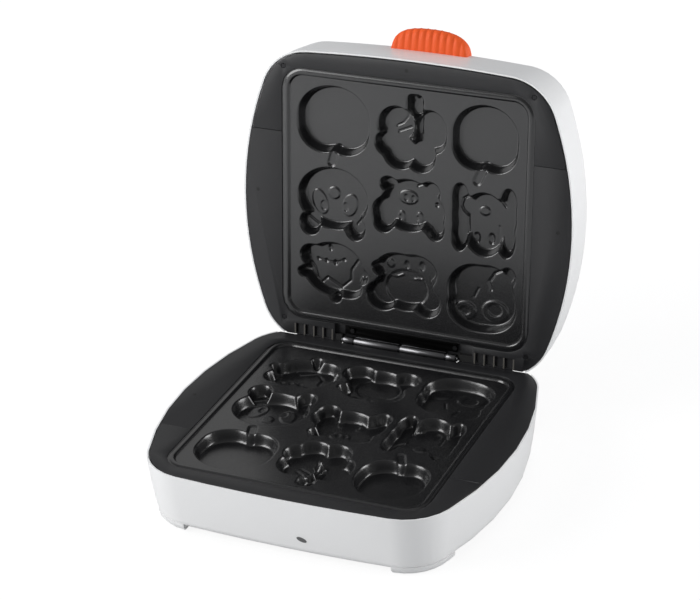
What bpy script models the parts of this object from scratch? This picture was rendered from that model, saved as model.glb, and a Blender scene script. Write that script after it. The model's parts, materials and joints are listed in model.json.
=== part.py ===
"""Biscuit maker: a clamshell countertop cooker with two moulded plates, standing open.

Design frame: the origin is the plate's centre on the parting plane between the closed halves, X to the
right, Y to the hinge, Z up. The lid is modelled closed and then swung open about the hinge.
Sizes are in metres.
"""

import bmesh
import bpy
import math
from mathutils import Matrix, Vector

# Fits
fit_gap = 0.0003
loose_gap = 0.0006
hole_play = 0.0002
joint_bite = 0.0005
cutter_margin = 0.004

# The plate's half width, which all places in plan follow, by a share of it or a margin from it
plate_half = 0.088

# Plan outline of both halves: how far it stands outside the plate's edge
front_margin = 0.0132
side_margin = 0.027
side_end_margin = 0.0022
base_rear_before_hinge = 0.0015
lid_rear_past_hinge = 0.0014
front_bow_rise = 0.006
plan_centre_share = 0.0307
plan_corner_share = 0.3864

# Housings
housing_wall = 0.0025
lip_stand = 0.0013
base_depth = 0.0393
base_draft = 0.125
base_bulge = 0.0004
base_edge_round = 0.005
lid_depth = 0.042
lid_draft = 0.08
lid_bulge = 0.0004
lid_edge_round = 0.007
lid_crown = 0.0012
lid_crown_reach = 0.04
rear_draft = 0.03

# Feet and pads
foot_drop = 0.003
foot_inner_x_share = 0.7955
foot_inner_y_share = 0.75
pad_radius = 0.006
pad_x_share = 0.9318
pad_front_share = -0.8773
pad_rear_share = 0.8295
pad_recess = 0.0012
pad_stand = 0.0007

# Floor vents
vent_length = 0.024
vent_width = 0.003
vent_pitch = 0.0075
vent_count = 5
vent_row_share = 0.3864

# Surrounds
bezel_thickness = 0.0025
bezel_rim_wall = 0.002
bezel_ledge_thickness = 0.002
bezel_ledge_reach = 0.004
seam_share = -0.4886
front_bezel_inset = 0.0006
seam_gap = 0.0003

# Plates
plate_corner_radius = 0.015
plate_flange_thickness = 0.004
plate_edge_drop = 0.0006
bead_width = 0.0045
bead_height = 0.0015
bead_edge_offset = 0.00075
slab_inset = 0.006
cavity_depth = 0.0075
cavity_slope = 0.0025
cavity_floor = 0.0028
stem_depth = 0.0016
outline_tolerance = 0.0008

# Heaters and their channels
heater_radius = 0.0032
heater_half_span_share = 0.5909
heater_corner_radius = 0.014
heater_end_x = 0.016
heater_end_run = 0.012
heater_pin_radius = 0.0013
heater_pin_length = 0.009
channel_half_width = 0.0055
channel_depth = 0.005

# Heat shields and their screws
shield_inset = 0.0027
shield_sheet = 0.0008
shield_flange_margin = 0.002
shield_clearance = 0.0021
shield_hole_radius = 0.0033
shield_boss_radius = 0.004
shield_boss_share = 0.8068
shield_screw_radius = 0.0013
shield_screw_head_radius = 0.003
shield_screw_head_height = 0.002
shield_screw_bite = 0.005

# Housing screws of the base
base_post_margin = 0.0065
base_post_front_share = -0.6273
base_post_rear_share = 0.5455
base_post_radius = 0.0046
base_boss_radius = 0.0038
base_boss_depth = 0.014
base_screw_radius = 0.0015
base_screw_head_radius = 0.003
base_screw_head_height = 0.0022
base_counterbore_radius = 0.0034
base_counterbore_rise = 0.0045
base_screw_bite = 0.008

# Housing screws of the lid
lid_post_x_share = 0.9886
lid_post_front_share = -1.0
lid_post_rear_share = 1.017
lid_post_radius = 0.0032
lid_boss_radius = 0.0026
lid_boss_height = 0.0082
lid_screw_radius = 0.0011
lid_screw_head_radius = 0.0016
lid_screw_head_height = 0.0014
lid_screw_bite = 0.009

# Hinge
hinge_margin = 0.011
hinge_z = 0.0008
barrel_radius = 0.00275
pin_radius = 0.00125
pin_cap_radius = 0.0019
pin_cap_length = 0.001
pin_spare = 0.0004
barrel_cove_gap = 0.00035
knuckle_end_shares = (-0.4852, -0.4091, -0.3955, -0.0364, -0.0159, 0.3443, 0.3614, 0.4341)
base_leaf_sheet = 0.0012
base_leaf_bottom = -0.0145
base_leaf_top = -0.0028
base_hinge_screw_share = 0.3409
base_hinge_screw_z = -0.0095
base_hinge_screw_radius = 0.0013
base_hinge_screw_head_radius = 0.0026
base_hinge_screw_head_height = 0.0014
base_hinge_boss_radius = 0.0035
lid_leaf_sheet = 0.0012
lid_leaf_front_margin = 0.0005
lid_leaf_notch_gap = 0.00105
lid_hinge_screw_share = 0.4205
lid_hinge_screw_radius = 0.0011
lid_hinge_screw_head_radius = 0.0017
lid_hinge_screw_head_height = 0.0011
lid_hinge_screw_length = 0.0030
lid_open_degrees = 96.0

# Hinge recess and vent slots of the lid's surround
recess_half_width_share = 0.5636
recess_front_inset = 0.002
recess_roof_z = 0.00385
shelf_thickness = 0.002
shelf_side_wall = 0.002
lid_rear_wall = 0.002
slot_first_share = 0.6227
slot_pitch_share = 0.0781
slot_width_share = 0.0591
slot_front_margin = 0.0045
slots_per_side = 4

# Handle
handle_centre_x = 0.0036
handle_half_width = 0.0265
handle_reach = 0.0142
handle_from_top = 0.0032
handle_thickness = 0.0100
handle_front_thickness = 0.0074
handle_power = 2.6
handle_front_share = 0.88
handle_flutes = 10
handle_flute_depth = 0.0012
handle_rows_per_flute = 2
handle_screw_x = 0.014
handle_screw_radius = 0.0012
handle_screw_head_radius = 0.0021
handle_screw_head_height = 0.0018
handle_screw_bite = 0.008

# Indicator lamps
lamp_x = 0.009
lamp_y_share = -0.7955
lens_radius = 0.0034
lens_flange_radius = 0.005
lens_flange_thickness = 0.001
lens_stand = 0.0008
lamp_radius = 0.0028
lamp_length_share = 0.2857
lamp_neck_share = 0.75

# Thermostat, fuse and wiring
thermostat_radius = 0.0075
thermostat_height = 0.010
thermostat_strap_half_length = 0.0125
thermostat_strap_half_width = 0.004
thermostat_strap_thickness = 0.001
thermostat_hole_radius = 0.009
fuse_radius = 0.002
fuse_half_length = 0.009
fuse_y_share = 0.409
block_centre_shares = (-0.568, 0.75)
block_half_size = (0.011, 0.007)
block_height_share = 0.5357
block_way_radius = 0.0016
block_way_depth_share = 0.67
block_entry_share = 0.25
block_way_spread = 0.007
gland_x_share = -0.7045
gland_z = -0.021
gland_radius = 0.0055
gland_flange_radius = 0.0075
gland_flange_thickness = 0.0015
gland_bore_radius = 0.0034
lead_radius = 0.0011
lead_level_share = 0.24
lead_sag = 0.004
lead_swing = 0.008

# Smoothness
front_steps = 3
corner_steps = 5
side_steps = 6
plate_corner_steps = 4
round_steps = 3
barrel_sides = 20
fitting_sides = 14
screw_sides = 6
post_sides = 8
tube_sides = 6
lead_sides = 6
outline_samples = 180
smooth_degrees = 35.0

# Mould cavities: centre and half size of each
cavity_place_shares = {
    "apple_left": ((-0.588, -0.626), (0.293, 0.268)),
    "tree": ((0.032, -0.614), (0.286, 0.290)),
    "apple_right": ((0.618, -0.637), (0.260, 0.256)),
    "round_eared": ((-0.582, 0.025), (0.292, 0.291)),
    "snouted": ((0.025, -0.034), (0.282, 0.239)),
    "long_eared": ((0.625, -0.019), (0.252, 0.274)),
    "fringed": ((-0.584, 0.580), (0.286, 0.252)),
    "cheeked": ((0.000, 0.582), (0.274, 0.247)),
    "big_eared": ((0.618, 0.606), (0.258, 0.268)),
}

# Each ellipse of an outline: centre and radii, in shares of the cavity's half size
apple_shares = (
    (0.00, -0.04, 0.99, 0.93),
    (-0.30, 0.28, 0.68, 0.70),
    (0.32, 0.30, 0.66, 0.70),
)
tree_shares = (
    (-0.40, -0.08, 0.51, 0.54),
    (-0.62, 0.39, 0.37, 0.34),
    (-0.30, 0.60, 0.46, 0.44),
    (0.28, 0.62, 0.42, 0.44),
    (0.60, 0.16, 0.37, 0.36),
    (0.52, -0.06, 0.48, 0.56),
    (0.04, -0.82, 0.15, 0.17),
    (0.20, -0.82, 0.15, 0.17),
    (0.12, -0.60, 0.23, 0.30),
)
round_eared_shares = (
    (-0.03, -0.10, 0.98, 0.84),
    (-0.67, 0.66, 0.29, 0.33),
    (0.60, 0.64, 0.28, 0.33),
)
snouted_shares = (
    (-0.02, 0.00, 0.76, 0.85),
    (-0.58, -0.62, 0.24, 0.25),
    (0.58, -0.50, 0.30, 0.36),
    (-0.66, 0.34, 0.38, 0.52),
    (0.62, 0.20, 0.40, 0.62),
    (-0.72, 0.66, 0.28, 0.34),
    (0.76, 0.66, 0.26, 0.37),
)
long_eared_shares = (
    (0.00, 0.40, 0.62, 0.68),
    (0.00, -0.10, 0.62, 0.62),
    (-0.76, -0.45, 0.27, 0.46),
    (-0.60, 0.03, 0.43, 0.62),
    (-0.76, 0.56, 0.27, 0.46),
    (0.74, -0.45, 0.26, 0.48),
    (0.56, 0.00, 0.44, 0.60),
    (0.70, 0.56, 0.28, 0.48),
)
fringed_shares = (
    (0.00, -0.04, 0.86, 0.86),
    (-0.62, -0.40, 0.34, 0.36),
    (-0.84, 0.16, 0.19, 0.18),
    (0.06, 0.84, 0.17, 0.18),
    (0.82, 0.06, 0.17, 0.24),
    (0.42, 0.48, 0.40, 0.34),
)
cheeked_shares = (
    (-0.20, -0.32, 0.66, 0.58),
    (0.30, -0.36, 0.64, 0.56),
    (-0.80, -0.36, 0.17, 0.20),
    (0.00, 0.20, 0.85, 0.72),
    (-0.66, 0.54, 0.47, 0.48),
    (0.66, 0.60, 0.41, 0.44),
)
big_eared_shares = (
    (-0.20, -0.14, 0.83, 0.80),
    (0.20, -0.10, 0.80, 0.86),
    (-0.16, 0.34, 0.88, 0.70),
    (0.20, 0.30, 0.86, 0.72),
    (0.78, -0.68, 0.24, 0.30),
)

# The stem beside each apple: where it starts and ends, and its half width
stem_shares = (
    ((-0.575, -0.38), (-0.600, -0.290), 0.030),
    ((0.610, -0.40), (0.565, -0.302), 0.030),
)

# Derived sizes
plan_half_width = plate_half + side_margin
plan_front = plate_half + front_margin
plan_centre_y = plate_half * plan_centre_share
side_bow_rise = side_margin - side_end_margin
front_bow_radius = (plan_half_width**2 + front_bow_rise**2) / (2 * front_bow_rise)
side_bow_radius = ((plan_front + plan_centre_y) ** 2 + side_bow_rise**2) / (2 * side_bow_rise)
plan_corner_radius = plate_half * plan_corner_share
seam_y = plate_half * seam_share
hinge_y = plate_half + hinge_margin
base_rear_y = hinge_y - base_rear_before_hinge
lid_rear_y = hinge_y + lid_rear_past_hinge
knuckle_ends_x = [plate_half * share for share in knuckle_end_shares]
base_hinge_screw_x = plate_half * base_hinge_screw_share
lid_leaf_front_y = plate_half + lid_leaf_front_margin
lid_leaf_notch_y = hinge_y - barrel_radius - lid_leaf_notch_gap
recess_half_width = plate_half * recess_half_width_share
slab_half = plate_half - slab_inset
heater_half_span = plate_half * heater_half_span_share
shield_half = plate_half - shield_inset
shield_flange_half = plate_half + shield_flange_margin
lamp_y = plate_half * lamp_y_share
lamp_length = lid_depth * lamp_length_share
gland_x = plate_half * gland_x_share
block_centre = [plate_half * share for share in block_centre_shares]
slab_thickness = bead_height + cavity_depth + cavity_floor
half_gap = fit_gap
bezel_low = half_gap + bezel_thickness
bezel_inner_half = plate_half + fit_gap
bezel_rim_half = bezel_inner_half + bezel_rim_wall
hinge_boss_start_y = bezel_rim_half + fit_gap
ledge_top = half_gap + plate_edge_drop + plate_flange_thickness + fit_gap
ledge_bottom = ledge_top + bezel_ledge_thickness
field_drop = half_gap + bead_height
slab_bottom = half_gap + slab_thickness
floor_top = base_depth - housing_wall
foot_bottom = base_depth + foot_drop
stand_bottom = foot_bottom + pad_stand
shield_floor = slab_bottom + channel_depth + shield_clearance
shield_depth = shield_floor + shield_sheet
block_height = (floor_top - shield_depth) * block_height_share
handle_high_z = lid_depth - handle_from_top
handle_low_z = handle_high_z - handle_thickness
handle_middle_z = (handle_low_z + handle_high_z) / 2
handle_screw_z = lid_depth - lid_edge_round - handle_screw_head_radius - fit_gap
boss_end = shield_floor - fit_gap
lid_turn = math.radians(lid_open_degrees)

# Colours
white_plastic = (0.86, 0.86, 0.85, 1.0)
charcoal_plastic = (0.045, 0.045, 0.05, 1.0)
orange_plastic = (0.84, 0.17, 0.045, 1.0)
dark_coating = (0.07, 0.07, 0.078, 1.0)
satin_steel = (0.62, 0.61, 0.60, 1.0)
black_steel = (0.03, 0.03, 0.032, 1.0)
zinc_sheet = (0.55, 0.56, 0.57, 1.0)
black_rubber = (0.02, 0.02, 0.02, 1.0)
cream_ceramic = (0.82, 0.78, 0.68, 1.0)
red_lens_colour = (0.65, 0.02, 0.02, 1.0)
green_lens_colour = (0.02, 0.45, 0.06, 1.0)
lead_colour = (0.75, 0.73, 0.68, 1.0)


def clear_scene():
    for found in list(bpy.data.objects):
        bpy.data.objects.remove(found, do_unlink=True)


def material_of(name, colour, metallic, roughness):
    material = bpy.data.materials.new(name + "_material")
    material.use_nodes = True
    shader = material.node_tree.nodes["Principled BSDF"]
    shader.inputs["Base Color"].default_value = colour
    shader.inputs["Metallic"].default_value = metallic
    shader.inputs["Roughness"].default_value = roughness
    material.diffuse_color = colour
    return material


# Meshes and solids


def solid_of(mesh_data, name):
    bmesh.ops.recalc_face_normals(mesh_data, faces=mesh_data.faces)
    mesh = bpy.data.meshes.new(name)
    mesh_data.to_mesh(mesh)
    mesh_data.free()
    made = bpy.data.objects.new(name, mesh)
    bpy.context.scene.collection.objects.link(made)
    return made


def loft(name, rings):
    """One closed skin through rings of equal point counts, with a flat cap at each end."""
    mesh_data = bmesh.new()
    add_loft(mesh_data, rings)
    return solid_of(mesh_data, name)


def add_loft(mesh_data, rings):
    corners = [[mesh_data.verts.new(point) for point in ring] for ring in rings]
    count = len(corners[0])
    for lower, upper in zip(corners, corners[1:]):
        for index in range(count):
            following = (index + 1) % count
            mesh_data.faces.new((lower[index], lower[following], upper[following], upper[index]))
    mesh_data.faces.new(list(reversed(corners[0])))
    mesh_data.faces.new(corners[-1])


def box(name, low, high):
    mesh_data = bmesh.new()
    add_box(mesh_data, low, high)
    return solid_of(mesh_data, name)


def add_box(mesh_data, low, high):
    flat = ((low[0], low[1]), (high[0], low[1]), (high[0], high[1]), (low[0], high[1]))
    add_loft(mesh_data, [[(x, y, z) for x, y in flat] for z in (low[2], high[2])])


def circle_points(centre, radius, sides):
    turns = [math.tau * index / sides for index in range(sides)]
    return [(centre[0] + radius * math.cos(turn), centre[1] + radius * math.sin(turn)) for turn in turns]


def upright_rings(centre, profile, sides):
    """Rings of a turned shape with its axis along Z; the profile lists radius and height."""
    rings = []
    for radius, height in profile:
        rings.append([(x, y, height) for x, y in circle_points(centre, radius, sides)])
    return rings


def turned(name, centre, profile, sides):
    return loft(name, upright_rings(centre, profile, sides))


def turned_each(name, centres, profile, sides):
    """One object at each named place, such as the screws of one kind."""
    return [turned(name + "_" + place, centre, profile, sides) for place, centre in centres.items()]


def forward_each(name, axis_xs, axis_z, profile, sides):
    """The same for turned pieces with their axes along Y, one at each named X."""
    made = []
    for place, x in axis_xs.items():
        made.append(loft(name + "_" + place, forward_rings(x, axis_z, profile, sides)))
    return made


def turned_group(name, centres, profile, sides):
    """Several turned shapes in one cutter or one addition."""
    mesh_data = bmesh.new()
    for centre in centres:
        add_loft(mesh_data, upright_rings(centre, profile, sides))
    return solid_of(mesh_data, name)


def lying_rings(axis_y, axis_z, profile, sides):
    """Rings of a turned shape with its axis along X; the profile lists radius and X."""
    rings = []
    for radius, x in profile:
        rings.append([(x, y, z) for y, z in circle_points((axis_y, axis_z), radius, sides)])
    return rings


def forward_rings(axis_x, axis_z, profile, sides):
    """Rings of a turned shape with its axis along Y; the profile lists radius and Y."""
    rings = []
    for radius, y in profile:
        rings.append([(x, y, z) for x, z in circle_points((axis_x, axis_z), radius, sides)])
    return rings


def combine(kept, other, operation):
    """Cuts, joins or intersects one solid with another, which is used up."""
    modifier = kept.modifiers.new(operation.lower(), "BOOLEAN")
    modifier.operation = operation
    modifier.solver = "EXACT"
    modifier.object = other
    bpy.context.view_layer.update()
    shaped = kept.evaluated_get(bpy.context.evaluated_depsgraph_get())
    mesh = bpy.data.meshes.new_from_object(shaped)
    kept.modifiers.clear()
    kept.data = mesh
    bpy.data.objects.remove(other, do_unlink=True)
    return kept


def cut(kept, cutter):
    return combine(kept, cutter, "DIFFERENCE")


def join(kept, added):
    return combine(kept, added, "UNION")


def keep_inside(kept, limit):
    return combine(kept, limit, "INTERSECT")


def mirror_up(made):
    """Mirrors a solid in the parting plane, for the lid's copy of a base piece."""
    mesh_data = bmesh.new()
    mesh_data.from_mesh(made.data)
    for corner in mesh_data.verts:
        corner.co.z = -corner.co.z
    bmesh.ops.reverse_faces(mesh_data, faces=mesh_data.faces)
    mesh_data.to_mesh(made.data)
    mesh_data.free()
    return made


# Plan outlines


def arc_points(centre, radius, start, stop, steps):
    """Points of an arc from start to stop, both ends included."""
    turns = [start + (stop - start) * index / steps for index in range(steps + 1)]
    return [(centre[0] + radius * math.cos(turn), centre[1] + radius * math.sin(turn)) for turn in turns]


def plan_centres():
    """Centres of the front bow, side bow and front corner arcs, which all insets share."""
    half_depth = plan_front + plan_centre_y
    bow = Vector((0, front_bow_radius - half_depth))
    side = Vector((plan_half_width - side_bow_radius, 0))
    side_reach = side_bow_radius - plan_corner_radius
    bow_reach = front_bow_radius - plan_corner_radius
    apart = (bow - side).length
    along = (bow - side) / apart
    near = (side_reach**2 - bow_reach**2 + apart**2) / (2 * apart)
    rise = math.sqrt(side_reach**2 - near**2)
    across = Vector((along.y, -along.x))
    found = [side + along * near + across * rise, side + along * near - across * rise]
    corner = max(found, key=lambda point: point.x)
    return bow, side, corner


def plan_ring(inset, rear_y, z):
    """The plan outline moved inward by the inset and cut off straight at the rear."""
    bow, side, corner = plan_centres()
    bow_turn = math.atan2(corner.y - bow.y, corner.x - bow.x)
    side_turn = math.atan2(corner.y - side.y, corner.x - side.x)
    corner_radius = plan_corner_radius - inset
    rear_reach = (rear_y - plan_centre_y + corner.y) / corner_radius
    rear_turn = math.asin(min(rear_reach, math.sin(-bow_turn)))
    rear_corner = (corner.x, -corner.y)
    half = arc_points(bow, front_bow_radius - inset, -math.pi / 2, bow_turn, front_steps)
    half += arc_points(corner, corner_radius, bow_turn, side_turn, corner_steps)[1:]
    half += arc_points(side, side_bow_radius - inset, side_turn, -side_turn, side_steps)[1:]
    half += arc_points(rear_corner, corner_radius, -side_turn, rear_turn, corner_steps)[1:]
    left = [(-x, y) for x, y in reversed(half[1:])]
    return [(x, y + plan_centre_y, z) for x, y in half + left]


def plate_ring(half, z):
    """A square of the plate family, whose corner arcs all share their centres."""
    centre = plate_half - plate_corner_radius
    radius = max(half - centre, fit_gap)
    straight = half - radius
    ring = []
    for quarter, (sign_x, sign_y) in enumerate(((1, 1), (-1, 1), (-1, -1), (1, -1))):
        start = quarter * math.pi / 2
        place = (sign_x * straight, sign_y * straight)
        ring += arc_points(place, radius, start, start + math.pi / 2, plate_corner_steps)
    return [(x, y, z) for x, y in ring]


def front_wall_y(x, z):
    """Front face of the lid's wall at this X and height, edge round included."""
    straight = lid_depth - lid_edge_round
    middle = straight / 2
    bulge = lid_bulge * max(1 - abs(z - middle) / middle, 0)
    past = max(z - straight, 0)
    turned_in = lid_edge_round - math.sqrt(lid_edge_round**2 - past**2)
    inset = -lip_stand + lid_draft * min(z, straight) - bulge + turned_in
    bow, _, _ = plan_centres()
    radius = front_bow_radius - inset
    return plan_centre_y + bow.y - math.sqrt(radius**2 - x**2)


# Housings


def outer_profile(depth, draft, bulge, edge_round):
    """Inset and depth of a housing's outer wall, from its lip to the far end of its edge round."""
    straight = depth - edge_round
    profile = [(-lip_stand, half_gap)]
    profile.append((-lip_stand + draft * straight / 2 - bulge, straight / 2))
    base_inset = -lip_stand + draft * straight
    for step in range(round_steps + 1):
        turn = step * math.pi / (2 * round_steps)
        inset = base_inset + edge_round * (1 - math.cos(turn))
        profile.append((inset, straight + edge_round * math.sin(turn)))
    return profile


def housing_rings(depth, draft, bulge, edge_round, rear_y, rear_wall, direction):
    """Rings of a tub from the middle of its floor, up its inside, over its lip and round its outside."""
    outer = outer_profile(depth, draft, bulge, edge_round)
    top_inset = outer[0][0]
    ledge_depth = bezel_low + fit_gap
    floor_depth = depth - housing_wall
    wall_end_inset = outer[2][0] + housing_wall
    low_corner = edge_round - housing_wall
    inner = [
        (wall_end_inset + low_corner, floor_depth),
        (wall_end_inset, floor_depth - low_corner),
        (outer[1][0] + housing_wall, outer[1][1]),
        (top_inset + housing_wall + draft * ledge_depth, ledge_depth),
        (-fit_gap, ledge_depth),
        (-fit_gap, half_gap),
    ]
    rings = []
    for inset, at_depth in inner:
        rear_inset = max(inset - top_inset - housing_wall, 0) * rear_draft / draft + rear_wall
        if inset == -fit_gap:
            rear_inset = lip_stand - fit_gap
        rings.append(plan_ring(inset, rear_y - rear_inset, direction * at_depth))
    for inset, at_depth in outer:
        straight_depth = min(at_depth, depth - edge_round)
        turned_in = inset - outer[2][0] if at_depth > depth - edge_round else 0
        rear_inset = rear_draft * straight_depth + turned_in
        rings.append(plan_ring(inset, rear_y - rear_inset, direction * at_depth))
    return rings


def rear_corner_x(inset, rear_y):
    """Where the plan outline meets its straight rear edge."""
    return max(x for x, y, _ in plan_ring(inset, rear_y, 0) if y > rear_y - fit_gap)


def rear_lip_cutter(rear_y, direction):
    """Takes the lip off the rear edge, which the surround covers."""
    half = rear_corner_x(-fit_gap, rear_y - lip_stand - fit_gap)
    far = direction * (bezel_low + fit_gap)
    near = -direction * cutter_margin
    low = (-half, rear_y - lip_stand - fit_gap, min(near, far))
    high = (half, rear_y + cutter_margin, max(near, far))
    return box("rear_lip_cutter", low, high)


def cove_cutter():
    """Clears the barrels and lets them turn."""
    radius = barrel_radius + barrel_cove_gap
    ends = (knuckle_ends_x[0] - pin_cap_length - pin_spare, knuckle_ends_x[-1] + pin_cap_length + pin_spare)
    profile = [(radius, ends[0] - fit_gap), (radius, ends[1] + fit_gap)]
    return loft("cove_cutter", lying_rings(hinge_y, hinge_z, profile, barrel_sides))


def corner_places(x, front_y, rear_y):
    return {
        "front_left": (-x, front_y),
        "front_right": (x, front_y),
        "rear_left": (-x, rear_y),
        "rear_right": (x, rear_y),
    }


def side_places(x):
    return {"left": -x, "right": x}


def plate_corner_places(x_share, front_share, rear_share):
    """The same with places in shares of the plate's half width."""
    return corner_places(plate_half * x_share, plate_half * front_share, plate_half * rear_share)


def base_post_places():
    x = plate_half + base_post_margin
    return corner_places(x, plate_half * base_post_front_share, plate_half * base_post_rear_share)


def lid_post_places():
    return plate_corner_places(lid_post_x_share, lid_post_front_share, lid_post_rear_share)


def foot_solid():
    """The four corner feet, which carry the wall's outline down to where the housing stands."""
    straight = base_depth - base_edge_round
    inset = -lip_stand + base_draft * straight + joint_bite / 2
    rear_inset = rear_draft * straight + joint_bite / 2
    low_round = foot_drop - joint_bite
    rings = []
    steps = ((0, straight + joint_bite), (joint_bite, foot_bottom - low_round), (low_round, foot_bottom))
    for more, depth in steps:
        rings.append(plan_ring(inset + more, base_rear_y - rear_inset - more, -depth))
    feet = loft("feet", rings)
    limits = bmesh.new()
    far = plan_half_width + cutter_margin
    near_x = plate_half * foot_inner_x_share
    near_y = plate_half * foot_inner_y_share
    for side in (-1, 1):
        for end in (-1, 1):
            xs = sorted((side * near_x, side * far))
            ys = sorted((end * near_y, end * far))
            top = -floor_top - joint_bite
            add_box(limits, (xs[0], ys[0], -foot_bottom - cutter_margin), (xs[1], ys[1], top))
    return keep_inside(feet, solid_of(limits, "foot_limits"))


def pad_places():
    return plate_corner_places(pad_x_share, pad_front_share, pad_rear_share)


def base_shell():
    rings = housing_rings(
        base_depth, base_draft, base_bulge, base_edge_round, base_rear_y, housing_wall, -1
    )
    shell = loft("base_shell", rings)
    join(shell, foot_solid())
    post_top = -base_boss_depth - fit_gap
    posts = [(base_post_radius, -floor_top - joint_bite), (base_post_radius, post_top)]
    join(shell, turned_group("posts", base_post_places().values(), posts, post_sides))
    boss_ends = (hinge_boss_start_y, base_rear_y - housing_wall + joint_bite)
    bosses = bmesh.new()
    for x in side_places(base_hinge_screw_x).values():
        profile = [(base_hinge_boss_radius, y) for y in boss_ends]
        add_loft(bosses, forward_rings(x, base_hinge_screw_z, profile, post_sides))
    join(shell, solid_of(bosses, "hinge_bosses"))
    cut(shell, surround_relief(-1, base_post_places(), base_boss_radius, base_boss_depth))
    cut(shell, rear_lip_cutter(base_rear_y, -1))
    cut(shell, cove_cutter())
    cut(shell, base_bottom_holes())
    cut(shell, base_rear_holes())
    return shell


def base_bottom_holes():
    holes = bmesh.new()
    below = -foot_bottom - cutter_margin
    shoulder = -floor_top + base_counterbore_rise - housing_wall
    screw_hole = base_screw_radius + hole_play
    counterbore = [
        (base_counterbore_radius, below),
        (base_counterbore_radius, shoulder),
        (screw_hole, shoulder),
        (screw_hole, -base_boss_depth + cutter_margin),
    ]
    for place in base_post_places().values():
        add_loft(holes, upright_rings(place, counterbore, post_sides))
    pad_profile = [(pad_radius + fit_gap, below), (pad_radius + fit_gap, -foot_bottom + pad_recess)]
    for place in pad_places().values():
        add_loft(holes, upright_rings(place, pad_profile, fitting_sides))
    first_x = -vent_pitch * (vent_count - 1) / 2
    for row_y in (-plate_half * vent_row_share, plate_half * vent_row_share):
        for index in range(vent_count):
            x = first_x + vent_pitch * index
            low = (x - vent_width / 2, row_y - vent_length / 2, -base_depth - cutter_margin)
            high = (x + vent_width / 2, row_y + vent_length / 2, -floor_top + cutter_margin)
            add_box(holes, low, high)
    return solid_of(holes, "bottom_holes")


def base_rear_holes():
    holes = bmesh.new()
    gland_ends = (base_rear_y - housing_wall - cutter_margin, base_rear_y + cutter_margin)
    gland = [(gland_radius + hole_play, y) for y in gland_ends]
    add_loft(holes, forward_rings(gland_x, gland_z, gland, fitting_sides))
    for x in side_places(base_hinge_screw_x).values():
        ends = (hinge_boss_start_y - cutter_margin, base_rear_y + cutter_margin)
        profile = [(base_hinge_screw_radius + hole_play, y) for y in ends]
        add_loft(holes, forward_rings(x, base_hinge_screw_z, profile, screw_sides))
    return solid_of(holes, "rear_holes")


def lid_shell():
    rings = housing_rings(lid_depth, lid_draft, lid_bulge, lid_edge_round, lid_rear_y, lid_rear_wall, 1)
    crown_inset = lid_edge_round + lid_crown_reach / 2
    crown_rear = lid_rear_y - (lid_edge_round + lid_crown_reach) / 2
    rings.append(plan_ring(crown_inset, crown_rear, lid_depth + lid_crown))
    shell = loft("lid_shell", rings)
    post_ends = (lid_boss_height + fit_gap, lid_depth - housing_wall + joint_bite)
    posts = [(lid_post_radius, z) for z in post_ends]
    join(shell, turned_group("posts", lid_post_places().values(), posts, post_sides))
    cut(shell, surround_relief(1, lid_post_places(), lid_boss_radius, lid_boss_height))
    cut(shell, rear_lip_cutter(lid_rear_y, 1))
    cut(shell, lid_notch_cutter())
    cut(shell, lid_shell_holes())
    return shell


def surround_relief(direction, places, boss_radius, boss_height):
    """Keeps a housing's walls clear of its surround's rim and bosses, also when sizes change."""
    half = bezel_rim_half + fit_gap
    low = -direction * cutter_margin
    relief = loft("relief", [plate_ring(half, z) for z in (low, direction * (ledge_bottom + fit_gap))])
    radius = boss_radius + fit_gap
    boss = [(radius, low), (radius, direction * (boss_height + fit_gap / 2))]
    return join(relief, turned_group("boss_relief", places.values(), boss, post_sides))


def lid_notch_cutter():
    """Opens the lid's rear wall over the hinge."""
    half = recess_half_width + shelf_side_wall + fit_gap
    low = (-half, lid_rear_y - lid_rear_wall - cutter_margin, -cutter_margin)
    high = (half, lid_rear_y + cutter_margin, recess_roof_z + shelf_thickness + fit_gap)
    return box("lid_notch_cutter", low, high)


def lid_shell_holes():
    holes = bmesh.new()
    inner_top = lid_depth - housing_wall
    screw_hole = lid_screw_radius + hole_play
    for place in lid_post_places().values():
        profile = [(screw_hole, 0), (screw_hole, lid_boss_height + lid_screw_bite + joint_bite)]
        add_loft(holes, upright_rings(place, profile, screw_sides))
    lens_hole = lens_radius + hole_play
    for x in side_places(lamp_x).values():
        profile = [(lens_hole, inner_top - cutter_margin), (lens_hole, lid_depth + cutter_margin)]
        add_loft(holes, upright_rings((x, lamp_y), profile, fitting_sides))
    for x in handle_screw_places().values():
        ends = (-plan_front - cutter_margin, -plan_front + housing_wall + lid_edge_round)
        profile = [(handle_screw_radius + hole_play, y) for y in ends]
        add_loft(holes, forward_rings(x, handle_screw_z, profile, screw_sides))
    return solid_of(holes, "lid_holes")


# Surrounds


def whole_bezel(rear_y, inset):
    """A surround before its seam: the flat top, the rim wall round the plate and the ledge under it."""
    top = [plan_ring(inset, rear_y, -depth) for depth in (half_gap, bezel_low)]
    bezel = loft("bezel", top)
    rim = [plate_ring(bezel_rim_half, -depth) for depth in (bezel_low - joint_bite, ledge_bottom)]
    join(bezel, loft("rim", rim))
    well = [plate_ring(bezel_inner_half, -depth) for depth in (-cutter_margin, ledge_top)]
    cut(bezel, loft("well", well))
    through_half = bezel_inner_half - bezel_ledge_reach
    through = [plate_ring(through_half, -depth) for depth in (0, ledge_bottom + cutter_margin)]
    cut(bezel, loft("through", through))
    return bezel


def half_of_bezel(name, bezel, is_front):
    far = plan_half_width + cutter_margin
    deep = ledge_bottom + base_boss_depth + cutter_margin
    if is_front:
        limits = ((-far, -far, -deep), (far, seam_y - seam_gap / 2, deep))
    else:
        limits = ((-far, seam_y + seam_gap / 2, -deep), (far, far, deep))
    bezel.name = name
    return keep_inside(bezel, box("seam_limit", *limits))


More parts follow.
